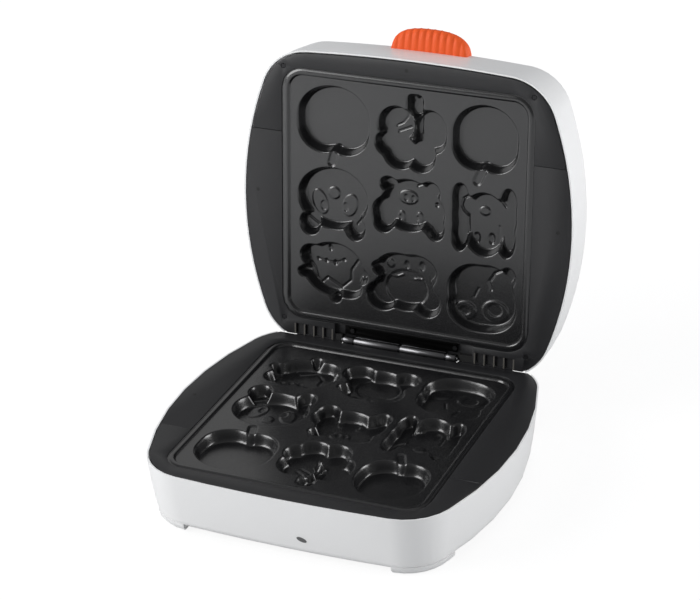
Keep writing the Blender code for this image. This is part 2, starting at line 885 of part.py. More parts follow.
def base_bezel(name, is_front):
    inset = front_bezel_inset if is_front else 0
    bezel = whole_bezel(base_rear_y, inset)
    cut(bezel, cove_cutter())
    places = [place for place in base_post_places().values() if (place[1] < seam_y) == is_front]
    boss = [(base_boss_radius, -bezel_low + joint_bite), (base_boss_radius, -base_boss_depth)]
    join(bezel, turned_group("bosses", places, boss, post_sides))
    hole_radius = base_screw_radius + hole_play
    top = -base_boss_depth + base_screw_bite + joint_bite
    hole = [(hole_radius, -base_boss_depth - cutter_margin), (hole_radius, top)]
    cut(bezel, turned_group("boss_holes", places, hole, screw_sides))
    return half_of_bezel(name, bezel, is_front)


def lid_bezel(name, is_front):
    inset = front_bezel_inset if is_front else 0
    bezel = mirror_up(whole_bezel(lid_rear_y, inset))
    if not is_front:
        add_hinge_shelf(bezel)
        cut(bezel, vent_slot_cutters())
    places = [place for place in lid_post_places().values() if (place[1] < seam_y) == is_front]
    boss = [(lid_boss_radius, bezel_low - joint_bite), (lid_boss_radius, lid_boss_height)]
    join(bezel, turned_group("bosses", places, boss, post_sides))
    cut(bezel, turned_group("boss_holes", places, lid_screw_hole_profile(), post_sides))
    return half_of_bezel(name, bezel, is_front)


def lid_screw_hole_profile():
    head_hole = lid_screw_head_radius + hole_play
    screw_hole = lid_screw_radius + hole_play
    shoulder = half_gap + lid_screw_head_height + hole_play
    return [
        (head_hole, -cutter_margin),
        (head_hole, shoulder),
        (screw_hole, shoulder),
        (screw_hole, lid_boss_height + cutter_margin),
    ]


def add_hinge_shelf(bezel):
    """The recess over the hinge: the surround steps back there to a shelf that carries the leaf."""
    outer = recess_half_width + shelf_side_wall
    rear = lid_rear_y - lid_rear_wall - fit_gap
    front = bezel_inner_half + joint_bite
    roof = recess_roof_z + shelf_thickness
    join(bezel, box("shelf", (-outer, front, bezel_low - joint_bite), (outer, rear, roof)))
    low = (-recess_half_width, plate_half - recess_front_inset, -cutter_margin)
    high = (recess_half_width, lid_rear_y + cutter_margin, recess_roof_z)
    cut(bezel, box("recess", low, high))
    hole = lid_hinge_screw_radius + hole_play
    bottom = recess_roof_z - joint_bite
    top = lid_hinge_screw_top() + hole_play
    profile = [(hole, bottom), (hole, top)]
    cut(bezel, turned_group("shelf_holes", lid_hinge_screw_places().values(), profile, screw_sides))


def vent_slot_cutters():
    slots = bmesh.new()
    half_width = plate_half * slot_width_share / 2
    front_y = plate_half + slot_front_margin
    for side in (-1, 1):
        for index in range(slots_per_side):
            x = side * plate_half * (slot_first_share + slot_pitch_share * index)
            low = (x - half_width, front_y, -cutter_margin)
            high = (x + half_width, lid_rear_y + cutter_margin, bezel_low + cutter_margin)
            add_box(slots, low, high)
    return solid_of(slots, "vent_slots")


# Plates


def outline_shares():
    return {
        "apple_left": apple_shares,
        "tree": tree_shares,
        "apple_right": apple_shares,
        "round_eared": round_eared_shares,
        "snouted": snouted_shares,
        "long_eared": long_eared_shares,
        "fringed": fringed_shares,
        "cheeked": cheeked_shares,
        "big_eared": big_eared_shares,
    }


def cavity_centre(name):
    return [plate_half * share for share in cavity_place_shares[name][0]]


def ellipse_reach(turn, shares, half_size):
    """Where a ray from the cavity's centre leaves this ellipse, or zero when it misses."""
    centre_x, centre_y = shares[0] * half_size[0], shares[1] * half_size[1]
    radius_x, radius_y = shares[2] * half_size[0], shares[3] * half_size[1]
    run_x, run_y = math.cos(turn) / radius_x, math.sin(turn) / radius_y
    off_x, off_y = centre_x / radius_x, centre_y / radius_y
    square = run_x**2 + run_y**2
    middle = run_x * off_x + run_y * off_y
    rest = off_x**2 + off_y**2 - 1
    inside = middle**2 - square * rest
    return (middle + math.sqrt(inside)) / square if inside > 0 else 0


def cavity_reach(name, turn):
    """How far a cavity's outline lies from its centre in this direction."""
    half_size = [plate_half * share for share in cavity_place_shares[name][1]]
    return max(ellipse_reach(turn, shares, half_size) for shares in outline_shares()[name])


def off_line(point, start, stop):
    edge = stop - start
    reach = edge.length
    if reach == 0:
        return (point - start).length
    return abs(edge.x * (point.y - start.y) - edge.y * (point.x - start.x)) / reach


def thinned(points, low, high, kept):
    """Keeps the points that the straight run between two kept ones would miss."""
    if high - low < 2:
        return
    distances = [off_line(points[index], points[low], points[high]) for index in range(low + 1, high)]
    worst = max(distances)
    if worst > outline_tolerance:
        middle = low + 1 + distances.index(worst)
        kept.add(middle)
        thinned(points, low, middle, kept)
        thinned(points, middle, high, kept)


def cavity_outline(name):
    """Directions and reaches of a cavity's outline, as few as its shape allows."""
    count = outline_samples
    turns = [math.tau * (index + 0.5) / count for index in range(count)]
    reaches = [cavity_reach(name, turn) for turn in turns]
    points = [Vector((math.cos(turn), math.sin(turn))) * reach for turn, reach in zip(turns, reaches)]
    kept = {0, count // 3, 2 * count // 3}
    stops = sorted(kept) + [count - 1]
    for low, high in zip(stops, stops[1:]):
        thinned(points, low, high, kept)
    kept.add(count - 1)
    return [(turns[index], reaches[index]) for index in sorted(kept)]


def cavity_rings(name):
    """Rings of the solid that shapes one cavity, from above the plate's field down to the cavity's floor."""
    centre = cavity_centre(name)
    outline = cavity_outline(name)
    levels = [
        (-cavity_slope / cavity_depth * cutter_margin / 2, -field_drop + cutter_margin / 2),
        (cavity_slope, -field_drop - cavity_depth),
    ]
    rings = []
    for inset, z in levels:
        ring = []
        for turn, reach in outline:
            kept_reach = reach - inset
            ring.append((centre[0] + kept_reach * math.cos(turn), centre[1] + kept_reach * math.sin(turn), z))
        rings.append(ring)
    return rings


def stem_cutter():
    """The shallow stems beside the apples, each a tapered slot that starts inside its apple."""
    stems = bmesh.new()
    for start_shares, stop_shares, half_share in stem_shares:
        start = Vector(start_shares) * plate_half
        stop = Vector(stop_shares) * plate_half
        along = (stop - start).normalized()
        side = Vector((-along.y, along.x)) * plate_half * half_share
        corners = [start - side, stop - side, stop + side, start + side]
        levels = (-field_drop + cutter_margin / 2, -field_drop - stem_depth)
        add_loft(stems, [[(corner.x, corner.y, z) for corner in corners] for z in levels])
    return solid_of(stems, "stems")


def heater_path():
    """The heater's run in plan, open at the rear: left end, round the plate, right end."""
    span, radius, end = heater_half_span, heater_corner_radius, heater_end_x
    inner = span - radius
    steps = round_steps
    half_turn = math.pi / 2
    path = [(-end, span + heater_end_run), (-end, span + radius / 2)]
    path += [(-end - radius / 2, span)]
    path += arc_points((-inner, inner), radius, half_turn, 2 * half_turn, steps)
    path += arc_points((-inner, -inner), radius, 2 * half_turn, 3 * half_turn, steps)
    path += arc_points((inner, -inner), radius, 3 * half_turn, 4 * half_turn, steps)
    path += arc_points((inner, inner), radius, 0, half_turn, steps)
    path += [(end + radius / 2, span), (end, span + radius / 2), (end, span + heater_end_run)]
    return path


def path_directions(path):
    directions = []
    for index, point in enumerate(path):
        before = Vector(path[max(index - 1, 0)])
        after = Vector(path[min(index + 1, len(path) - 1)])
        directions.append((after - before).normalized())
    return directions


def swept_rings(path, section):
    """Rings of a section, listed as side and height, carried along a flat path."""
    rings = []
    for point, along in zip(path, path_directions(path)):
        side = (along.y, -along.x)
        rings.append([(point[0] + side[0] * across, point[1] + side[1] * across, z) for across, z in section])
    return rings


def heater_centre_z():
    return -slab_bottom - fit_gap - heater_radius


def channel_section():
    """The rib with its groove, open away from the plate, that holds the heater."""
    groove = heater_radius + fit_gap
    top = -slab_bottom + joint_bite
    bottom = -slab_bottom - channel_depth
    section = [(-channel_half_width, bottom), (-channel_half_width, top)]
    section += [(channel_half_width, top), (channel_half_width, bottom), (groove, bottom)]
    centre = (0, heater_centre_z())
    section += arc_points(centre, groove, 0, math.pi, round_steps + 1)
    section += [(-groove, bottom)]
    return section


def plate_body():
    """The cast plate before its cavities: bead, field, flange and slab."""
    crest = -half_gap
    edge_top = -half_gap - plate_edge_drop
    bead_outer = plate_half - bead_edge_offset
    bead_inner = bead_outer - bead_width
    bead_mid = (bead_outer + bead_inner) / 2
    quarter = bead_width / 4
    rings = [
        plate_ring(slab_half, -slab_bottom),
        plate_ring(slab_half, edge_top - plate_flange_thickness),
        plate_ring(plate_half, edge_top - plate_flange_thickness),
        plate_ring(plate_half, edge_top),
        plate_ring(bead_outer, edge_top),
        plate_ring(bead_mid + quarter, crest),
        plate_ring(bead_mid - quarter, crest),
        plate_ring(bead_inner + quarter / 2, crest - bead_height / 2),
        plate_ring(bead_inner, -field_drop),
    ]
    return loft("plate", rings)


def shield_boss_places():
    return plate_corner_places(shield_boss_share, -shield_boss_share, shield_boss_share)


def plate(name):
    body = plate_body()
    join(body, loft("channel", swept_rings(heater_path(), channel_section())))
    boss = [(shield_boss_radius, -slab_bottom + joint_bite), (shield_boss_radius, -boss_end)]
    join(body, turned_group("bosses", shield_boss_places().values(), boss, post_sides))
    hole_radius = shield_screw_radius + hole_play
    hole_ends = (-boss_end - cutter_margin, -boss_end + shield_screw_bite + hole_play)
    hole = [(hole_radius, z) for z in hole_ends]
    cut(body, turned_group("boss_holes", shield_boss_places().values(), hole, screw_sides))
    cavities = bmesh.new()
    for cavity in cavity_place_shares:
        add_loft(cavities, cavity_rings(cavity))
    cut(body, solid_of(cavities, "cavities"))
    cut(body, stem_cutter())
    body.name = name
    return body


# Heaters and shields


def tube_rings(places, radii, sides):
    """Rings of a round tube along places in space."""
    rings = []
    last_side = None
    for index, place in enumerate(places):
        before = Vector(places[max(index - 1, 0)])
        after = Vector(places[min(index + 1, len(places) - 1)])
        along = (after - before).normalized()
        if last_side is None:
            reference = Vector((0, 0, 1)) if abs(along.z) < math.cos(math.pi / 4) else Vector((1, 0, 0))
            side = along.cross(reference).normalized()
        else:
            side = (last_side - along * last_side.dot(along)).normalized()
        last_side = side
        up = side.cross(along)
        ring = []
        for step in range(sides):
            turn = math.tau * step / sides
            offset = side * math.cos(turn) + up * math.sin(turn)
            ring.append(tuple(Vector(place) + offset * radii[index]))
        rings.append(ring)
    return rings


def heater(name):
    """The tubular element, with a thin connection pin at each end."""
    z = heater_centre_z()
    path = heater_path()
    run = [(x, y, z) for x, y in path]
    pins = [[(x, y + fit_gap, z), (x, y + heater_pin_length, z)] for x, y in (path[0], path[-1])]
    places = list(reversed(pins[0])) + run + pins[1]
    pin_radii = [heater_pin_radius] * len(pins[0])
    radii = pin_radii + [heater_radius] * len(run) + pin_radii
    return loft(name, tube_rings(places, radii, tube_sides))


def heat_shield(name, with_thermostat_hole):
    rings = [
        plate_ring(shield_half - shield_sheet, -shield_floor),
        plate_ring(shield_half - shield_sheet, -ledge_bottom - fit_gap),
        plate_ring(shield_flange_half, -ledge_bottom - fit_gap),
        plate_ring(shield_flange_half, -ledge_bottom - fit_gap - shield_sheet),
        plate_ring(shield_half, -ledge_bottom - fit_gap - shield_sheet),
        plate_ring(shield_half, -shield_depth),
    ]
    shield = loft(name, rings)
    holes = bmesh.new()
    ends = (-shield_depth - cutter_margin, -shield_floor + cutter_margin)
    screw_hole = [(shield_screw_radius + hole_play, z) for z in ends]
    for place in shield_boss_places().values():
        add_loft(holes, upright_rings(place, screw_hole, screw_sides))
    lead_hole = [(shield_hole_radius, z) for z in ends]
    for place in lead_hole_places():
        add_loft(holes, upright_rings(place, lead_hole, post_sides))
    if with_thermostat_hole:
        thermostat_hole = [(thermostat_hole_radius, z) for z in ends]
        add_loft(holes, upright_rings((0, 0), thermostat_hole, fitting_sides))
    cut(shield, solid_of(holes, "shield_holes"))
    return shield


def lead_hole_places():
    y = heater_half_span + heater_end_run + heater_pin_length
    return [(-heater_end_x, y), (heater_end_x, y)]


def shield_screws(name):
    head_top = -shield_depth - fit_gap
    profile = [
        (shield_screw_head_radius, head_top - shield_screw_head_height),
        (shield_screw_head_radius, head_top),
        (shield_screw_radius, head_top),
        (shield_screw_radius, -boss_end + shield_screw_bite),
    ]
    return turned_each(name, shield_boss_places(), profile, screw_sides)


# Screws, pads and fittings of the base


def base_housing_screws():
    shoulder = -floor_top + base_counterbore_rise - housing_wall
    head_top = shoulder - fit_gap
    profile = [
        (base_screw_head_radius, head_top - base_screw_head_height),
        (base_screw_head_radius, head_top),
        (base_screw_radius, head_top),
        (base_screw_radius, -base_boss_depth + base_screw_bite),
    ]
    return turned_each("base_housing_screw", base_post_places(), profile, screw_sides)


def foot_pads():
    top = -foot_bottom + pad_recess - fit_gap
    chamfer = pad_stand / 2
    profile = [
        (pad_radius - chamfer, -stand_bottom),
        (pad_radius, -stand_bottom + chamfer),
        (pad_radius, top),
    ]
    return turned_each("foot_pad", pad_places(), profile, fitting_sides)


def thermostat():
    """A snap disc switch: its cup touches the plate's back and its strap lies under the cup."""
    top = -slab_bottom - fit_gap
    bottom = top - thermostat_height
    cup = [(thermostat_radius, bottom), (thermostat_radius, top)]
    body = turned("thermostat", (0, 0), cup, fitting_sides)
    length, width = thermostat_strap_half_length, thermostat_strap_half_width
    strap_top = bottom + joint_bite
    low = (-length, -width, strap_top - thermostat_strap_thickness - joint_bite)
    return join(body, box("strap", low, (length, width, strap_top)))


def fuse_axis_z():
    return -shield_depth - fit_gap - fuse_radius


def thermal_fuse():
    ends = ((fuse_radius / 2, -1), (fuse_radius, -1), (fuse_radius, 1), (fuse_radius / 2, 1))
    profile = []
    for index, (radius, side) in enumerate(ends):
        more = fuse_radius / 2 if index in (0, 3) else 0
        profile.append((radius, side * (fuse_half_length + more)))
    return loft("thermal_fuse", lying_rings(plate_half * fuse_y_share, fuse_axis_z(), profile, post_sides))


def block_bottom():
    return -floor_top + fit_gap


def terminal_block():
    x, y = block_centre
    half_x, half_y = block_half_size
    bottom = block_bottom()
    low = (x - half_x, y - half_y, bottom)
    block = box("terminal_block", low, (x + half_x, y + half_y, bottom + block_height))
    ways = bmesh.new()
    for way in (-1, 0, 1):
        way_x = x + way * block_way_spread
        way_ends = (bottom + block_height / 2, bottom + block_height + cutter_margin)
        profile = [(block_way_radius, end) for end in way_ends]
        add_loft(ways, upright_rings((way_x, y), profile, screw_sides))
        entry_ends = (y - half_y - cutter_margin, y - half_y * (1 - block_way_depth_share))
        through = [(block_way_radius, end) for end in entry_ends]
        add_loft(ways, forward_rings(way_x, bottom + block_height * block_entry_share, through, screw_sides))
    return cut(block, solid_of(ways, "ways"))


def rear_face_y(z):
    """Outer face of the base's rear wall at this height."""
    return base_rear_y - rear_draft * abs(z)


def cord_gland():
    """The bushing where the cord enters, flanged on both faces of the rear wall."""
    outer = rear_face_y(gland_z + gland_radius) + fit_gap
    inner = rear_face_y(gland_z - gland_radius) - housing_wall - loose_gap
    profile = [
        (gland_flange_radius, inner - gland_flange_thickness),
        (gland_flange_radius, inner),
        (gland_radius, inner),
        (gland_radius, outer),
        (gland_flange_radius, outer),
        (gland_flange_radius, outer + gland_flange_thickness),
        (gland_bore_radius, outer + gland_flange_thickness),
        (gland_bore_radius, inner - gland_flange_thickness),
    ]
    return ring_solid("cord_gland", forward_rings(gland_x, gland_z, profile, fitting_sides))


def ring_solid(name, rings):
    """A closed skin through rings that come back to the first one, as of a bushing."""
    mesh_data = bmesh.new()
    corners = [[mesh_data.verts.new(point) for point in ring] for ring in rings]
    count = len(corners[0])
    for lower, upper in zip(corners, corners[1:] + corners[:1]):
        for index in range(count):
            following = (index + 1) % count
            mesh_data.faces.new((lower[index], lower[following], upper[following], upper[index]))
    return solid_of(mesh_data, name)


def sagging(start, stop, bow, steps):
    """Places of a lead between two ends that bows by the given amount."""
    places = []
    for index in range(steps + 1):
        share = index / steps
        place = Vector(start).lerp(Vector(stop), share)
        places.append(tuple(place + Vector(bow) * math.sin(math.pi * share)))
    return places


def lead(name, places):
    return loft(name, tube_rings(places, [lead_radius] * len(places), lead_sides))


def base_leads():
    """Insulated leads from the terminal block to both heater pins and to the thermostat."""
    leads = []
    steps = round_steps + 1
    pin_z = heater_centre_z()
    block_top = block_bottom() + block_height + fit_gap + lead_radius
    gather_z = -shield_depth - (floor_top - shield_depth) * lead_level_share
    swings = (0, lead_swing)
    for name, side, swing, (hole_x, hole_y) in zip(("left", "right"), (1, -1), swings, lead_hole_places()):
        way_x = block_centre[0] + side * block_way_spread
        drop = (hole_x, hole_y, gather_z)
        rise = (hole_x, hole_y, pin_z - heater_pin_radius - fit_gap)
        run = sagging((way_x, block_centre[1], block_top), drop, (0, swing, 0), steps)
        leads.append(lead("base_heater_lead_" + name, run + [rise]))
    way = (block_centre[0], block_centre[1], block_top)
    strap_z = -slab_bottom - fit_gap - thermostat_height - thermostat_strap_thickness - fit_gap - lead_radius
    end = (-thermostat_strap_half_length / 2, thermostat_strap_half_width, strap_z - lead_radius)
    leads.append(lead("thermostat_lead", sagging(way, end, (-lead_sag, 0, 0), steps)))
    return leads


def lid_leads():
    """Leads from the lid's heater pins, out by the shield's holes and on to the hinge recess."""
    leads = []
    steps = round_steps
    pin_z = -heater_centre_z()
    gather_z = shield_depth + lead_sag
    over_shelf = recess_roof_z + shelf_thickness + lead_radius + fit_gap
    for name, (hole_x, hole_y) in zip(("left", "right"), lead_hole_places()):
        rise = (hole_x, hole_y, pin_z + heater_pin_radius + fit_gap)
        turn = (hole_x, hole_y, gather_z)
        beyond = (hole_x, shield_flange_half + lead_sag, gather_z - lead_sag)
        stop = (hole_x, shield_flange_half + lead_sag, over_shelf)
        run = [rise, turn] + sagging(turn, beyond, (0, 0, lead_sag / 2), steps)[1:] + [stop]
        leads.append(lead("lid_heater_lead_" + name, run))
    return leads


# Hinge


def bore_cutter():
    bore = pin_radius + hole_play
    far = (knuckle_ends_x[0] - cutter_margin, knuckle_ends_x[-1] + cutter_margin)
    return loft("bore", lying_rings(hinge_y, hinge_z, [(bore, far[0]), (bore, far[1])], barrel_sides))


def solid_knuckle(ends):
    return loft("knuckle", lying_rings(hinge_y, hinge_z, [(barrel_radius, x) for x in ends], barrel_sides))


def base_leaf_y():
    """Inner and outer face of the base's hinge leaf, which lies on the rear wall."""
    inner = base_rear_y + hole_play
    return inner, inner + base_leaf_sheet


def base_hinge_bracket():
    short = (knuckle_ends_x[0:2], knuckle_ends_x[6:8])
    inner, outer = base_leaf_y()
    low = (knuckle_ends_x[0], inner, base_leaf_bottom)
    bracket = box("base_hinge_bracket", low, (knuckle_ends_x[-1], outer, base_leaf_top))
    for ends in short:
        tab_low = (ends[0], inner, base_leaf_top - joint_bite)
        join(bracket, box("tab", tab_low, (ends[1], outer, hinge_z)))
    for ends in short:
        join(bracket, solid_knuckle(ends))
    cut(bracket, bore_cutter())
    holes = bmesh.new()
    for x in side_places(base_hinge_screw_x).values():
        ends = (inner - cutter_margin, outer + cutter_margin)
        profile = [(base_hinge_screw_radius + hole_play, y) for y in ends]
        add_loft(holes, forward_rings(x, base_hinge_screw_z, profile, screw_sides))
    return cut(bracket, solid_of(holes, "leaf_holes"))


def base_hinge_screws():
    _, outer = base_leaf_y()
    head_start = outer + fit_gap
    profile = [
        (base_hinge_screw_radius, hinge_boss_start_y + hole_play),
        (base_hinge_screw_radius, head_start),
        (base_hinge_screw_head_radius, head_start),
        (base_hinge_screw_head_radius, head_start + base_hinge_screw_head_height),
    ]
    places = side_places(base_hinge_screw_x)
    return forward_each("base_hinge_screw", places, base_hinge_screw_z, profile, screw_sides)


def lid_leaf_z():
    """Lower and upper face of the lid's hinge leaf, whose upper face is level with the barrels' top."""
    upper = recess_roof_z - fit_gap
    return upper - lid_leaf_sheet, upper


def lid_hinge_screw_places():
    middle_y = (lid_leaf_front_y + lid_leaf_notch_y) / 2
    return {name: (x, middle_y) for name, x in side_places(plate_half * lid_hinge_screw_share).items()}


def lid_hinge_screw_top():
    return lid_leaf_z()[0] - fit_gap + lid_hinge_screw_length


def lid_hinge_bracket():
    long_ones = (knuckle_ends_x[2:4], knuckle_ends_x[4:6])
    lower, upper = lid_leaf_z()
    low = (knuckle_ends_x[0], lid_leaf_front_y, lower)
    bracket = box("lid_hinge_bracket", low, (knuckle_ends_x[-1], lid_leaf_notch_y, upper))
    for ends in long_ones:
        tongue_low = (ends[0], lid_leaf_notch_y - joint_bite, lower)
        join(bracket, box("tongue", tongue_low, (ends[1], hinge_y, upper)))
    for ends in long_ones:
        join(bracket, solid_knuckle(ends))
    cut(bracket, bore_cutter())
    hole = [(lid_hinge_screw_radius + hole_play, z) for z in (lower - cutter_margin, upper + cutter_margin)]
    return cut(bracket, turned_group("leaf_holes", lid_hinge_screw_places().values(), hole, screw_sides))


def lid_hinge_screws():
    head_top = lid_leaf_z()[0] - fit_gap
    profile = [
        (lid_hinge_screw_head_radius, head_top - lid_hinge_screw_head_height),
        (lid_hinge_screw_head_radius, head_top),
        (lid_hinge_screw_radius, head_top),
        (lid_hinge_screw_radius, lid_hinge_screw_top()),
    ]
    return turned_each("lid_hinge_screw", lid_hinge_screw_places(), profile, screw_sides)


def hinge_pin():
    start = knuckle_ends_x[0] - pin_spare
    stop = knuckle_ends_x[-1] + pin_spare
    profile = [
        (pin_cap_radius, start - pin_cap_length),
        (pin_cap_radius, start),
        (pin_radius, start),
        (pin_radius, stop),
        (pin_cap_radius, stop),
        (pin_cap_radius, stop + pin_cap_length),
    ]
    return loft("hinge_pin", lying_rings(hinge_y, hinge_z, profile, post_sides))


# Fittings of the lid


def lid_housing_screws():
    head_bottom = half_gap + hole_play
    profile = [
        (lid_screw_head_radius, head_bottom),
        (lid_screw_head_radius, head_bottom + lid_screw_head_height - hole_play),
        (lid_screw_radius, head_bottom + lid_screw_head_height - hole_play),
        (lid_screw_radius, lid_boss_height + lid_screw_bite),
    ]
    return turned_each("lid_housing_screw", lid_post_places(), profile, screw_sides)


def handle_screw_places():
    return {name: handle_centre_x + x for name, x in side_places(handle_screw_x).items()}


def handle_outline_reach(share):
    """How far the half moon stands out, for a place across it from -1 to 1."""
    edge = max(1 - abs(share) ** handle_power, 0)
    return max(handle_reach * edge ** (1 / handle_power), fit_gap)


def handle_section(share):
    """One slice across the grip, from its lower root round its front to its upper root."""
    x = handle_centre_x + handle_half_width * share
    reach = handle_outline_reach(share)
    phase = handle_flutes * (share + 1) / 2
    flute = handle_flute_depth * (1 - abs(math.sin(math.pi * phase)))
    front_half = handle_front_thickness / 2
    front_low = handle_middle_z - front_half + flute
    low_z = handle_low_z + flute
    wall_ends_z = lid_depth - lid_edge_round
    root = front_wall_y(x, handle_low_z) - fit_gap
    root_levels = (handle_high_z, (wall_ends_z + handle_high_z) / 2, wall_ends_z, low_z)
    return [
        (x, root - reach / 2, (low_z + front_low) / 2),
        (x, root - reach * handle_front_share, front_low),
        (x, root - reach, handle_middle_z),
        (x, root - reach * handle_front_share, handle_middle_z + front_half),
        *[(x, front_wall_y(x, z) - fit_gap, z) for z in root_levels],
    ]


def lid_handle():
    """The grip: a half moon on the lid's front wall, its lower face fluted like a shell."""
    rows = handle_flutes * handle_rows_per_flute
    handle = loft("lid_handle", [handle_section(-1 + 2 * row / rows) for row in range(rows + 1)])
    holes = bmesh.new()
    for screw_x in handle_screw_places().values():
        face = -plan_front - lip_stand
        ends = (face - handle_screw_bite, face + lid_edge_round)
        profile = [(handle_screw_radius + hole_play, y) for y in ends]
        add_loft(holes, forward_rings(screw_x, handle_screw_z, profile, screw_sides))
    return cut(handle, solid_of(holes, "handle_holes"))


def lid_handle_screws():
    far_x = handle_centre_x + handle_screw_x + handle_screw_head_radius
    far_z = handle_screw_z + handle_screw_head_radius
    inside = front_wall_y(far_x, far_z) + housing_wall + fit_gap
    face = -plan_front - lip_stand
    profile = [
        (handle_screw_head_radius, inside + handle_screw_head_height),
        (handle_screw_head_radius, inside),
        (handle_screw_radius, inside),
        (handle_screw_radius, face - handle_screw_bite + hole_play),
    ]
    return forward_each("lid_handle_screw", handle_screw_places(), handle_screw_z, profile, screw_sides)


def lens(name, side):
    inner_top = lid_depth - housing_wall
    flange_top = inner_top - fit_gap
    dome_top = lid_depth + lid_crown + lens_stand
    profile = [
        (lens_flange_radius, flange_top - lens_flange_thickness),
        (lens_flange_radius, flange_top),
        (lens_radius, flange_top),
        (lens_radius, lid_depth + lid_crown),
        (lens_radius / 2, dome_top),
    ]
    return turned(name, (side * lamp_x, lamp_y), profile, post_sides)


def indicator_lamps():
    top = lid_depth - housing_wall - loose_gap - lens_flange_thickness
    neck = top - lamp_length * lamp_neck_share
    profile = [(lamp_radius / 2, top - lamp_length), (lamp_radius, neck), (lamp_radius, top)]
    places = {"power": (-lamp_x, lamp_y), "ready": (lamp_x, lamp_y)}
    return turned_each("indicator_lamp", places, profile, post_sides)


# Assembly


def base_pieces():
    """Each of the base's pieces with its colour, metallic value and roughness."""
    steel = (satin_steel, 1.0, 0.35)
    singles = [
        (base_shell(), white_plastic, 0.0, 0.35),
        (base_bezel("base_bezel_front", True), charcoal_plastic, 0.0, 0.5),
        (base_bezel("base_bezel_rear", False), charcoal_plastic, 0.0, 0.5),
        (plate("base_plate"), dark_coating, 0.3, 0.45),
        (heater("base_heater"), satin_steel, 1.0, 0.35),
        (heat_shield("base_heat_shield", True), zinc_sheet, 1.0, 0.4),
        (thermostat(), satin_steel, 1.0, 0.4),
        (thermal_fuse(), cream_ceramic, 0.0, 0.6),
        (terminal_block(), cream_ceramic, 0.0, 0.5),
        (cord_gland(), black_rubber, 0.0, 0.7),
        (base_hinge_bracket(), satin_steel, 1.0, 0.3),
        (hinge_pin(), satin_steel, 1.0, 0.3),
    ]
    screws = shield_screws("base_shield_screw") + base_housing_screws() + base_hinge_screws()
    sets = [(screw, *steel) for screw in screws]
    sets += [(pad, black_rubber, 0.0, 0.8) for pad in foot_pads()]
    sets += [(made, lead_colour, 0.0, 0.6) for made in base_leads()]
    return singles + sets


def lid_pieces():
    """Each of the lid's pieces with its colour, metallic value and roughness."""
    steel = (satin_steel, 1.0, 0.35)
    dark_steel = (black_steel, 1.0, 0.4)
    singles = [
        (lid_shell(), white_plastic, 0.0, 0.35),
        (lid_bezel("lid_bezel_front", True), charcoal_plastic, 0.0, 0.5),
        (lid_bezel("lid_bezel_rear", False), charcoal_plastic, 0.0, 0.5),
        (mirror_up(plate("lid_plate")), dark_coating, 0.3, 0.45),
        (mirror_up(heater("lid_heater")), satin_steel, 1.0, 0.35),
        (mirror_up(heat_shield("lid_heat_shield", False)), zinc_sheet, 1.0, 0.4),
        (lid_hinge_bracket(), satin_steel, 1.0, 0.3),
        (lid_handle(), orange_plastic, 0.0, 0.35),
        (lens("power_lens", -1), red_lens_colour, 0.0, 0.15),
        (lens("ready_lens", 1), green_lens_colour, 0.0, 0.15),
    ]
    plain_screws = [mirror_up(screw) for screw in shield_screws("lid_shield_screw")] + lid_handle_screws()
    sets = [(screw, *steel) for screw in plain_screws]
    sets += [(screw, *dark_steel) for screw in lid_housing_screws() + lid_hinge_screws()]
    sets += [(lamp, cream_ceramic, 0.0, 0.3) for lamp in indicator_lamps()]
    sets += [(made, lead_colour, 0.0, 0.6) for made in lid_leads()]
    return singles + sets


def finish_piece(made, colour, metallic, roughness, offset, parent):
    made.data.transform(Matrix.Translation(-offset))
    made.data.materials.clear()
    made.data.materials.append(material_of(made.name, colour, metallic, roughness))
    made.parent = parent
    made.data.shade_smooth()
    made.data.set_sharp_from_angle(angle=math.radians(smooth_degrees))


def empty_at(name, place):
    made = bpy.data.objects.new(name, None)
    bpy.context.scene.collection.objects.link(made)
    made.location = place
    return made


def stood_box():
    """Low and high corner of everything, with the lid open, in the design frame."""
    bpy.context.view_layer.update()
    corners = []
    for made in bpy.data.objects:
        if made.type == "MESH":
            corners += [made.matrix_world @ vertex.co for vertex in made.data.vertices]
    low = Vector([min(corner[axis] for corner in corners) for axis in range(3)])
    high = Vector([max(corner[axis] for corner in corners) for axis in range(3)])
    return low, high


def main():
    clear_scene()
    stand = empty_at("stand", (0, 0, 0))
    hinge_place = Vector((0, hinge_y, hinge_z))
    hinge = empty_at("lid_hinge_axis", hinge_place)
    hinge.rotation_euler.x = -lid_turn
    hinge.parent = stand
    for made, colour, metallic, roughness in base_pieces():
        finish_piece(made, colour, metallic, roughness, Vector((0, 0, 0)), stand)
    for made, colour, metallic, roughness in lid_pieces():
        finish_piece(made, colour, metallic, roughness, hinge_place, hinge)
    low, high = stood_box()
    stand.location = (-(low.x + high.x) / 2, -(low.y + high.y) / 2, -low.z)
    bpy.context.view_layer.update()


main()
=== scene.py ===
import json
import math

import bpy
import numpy
from mathutils import Matrix, Vector


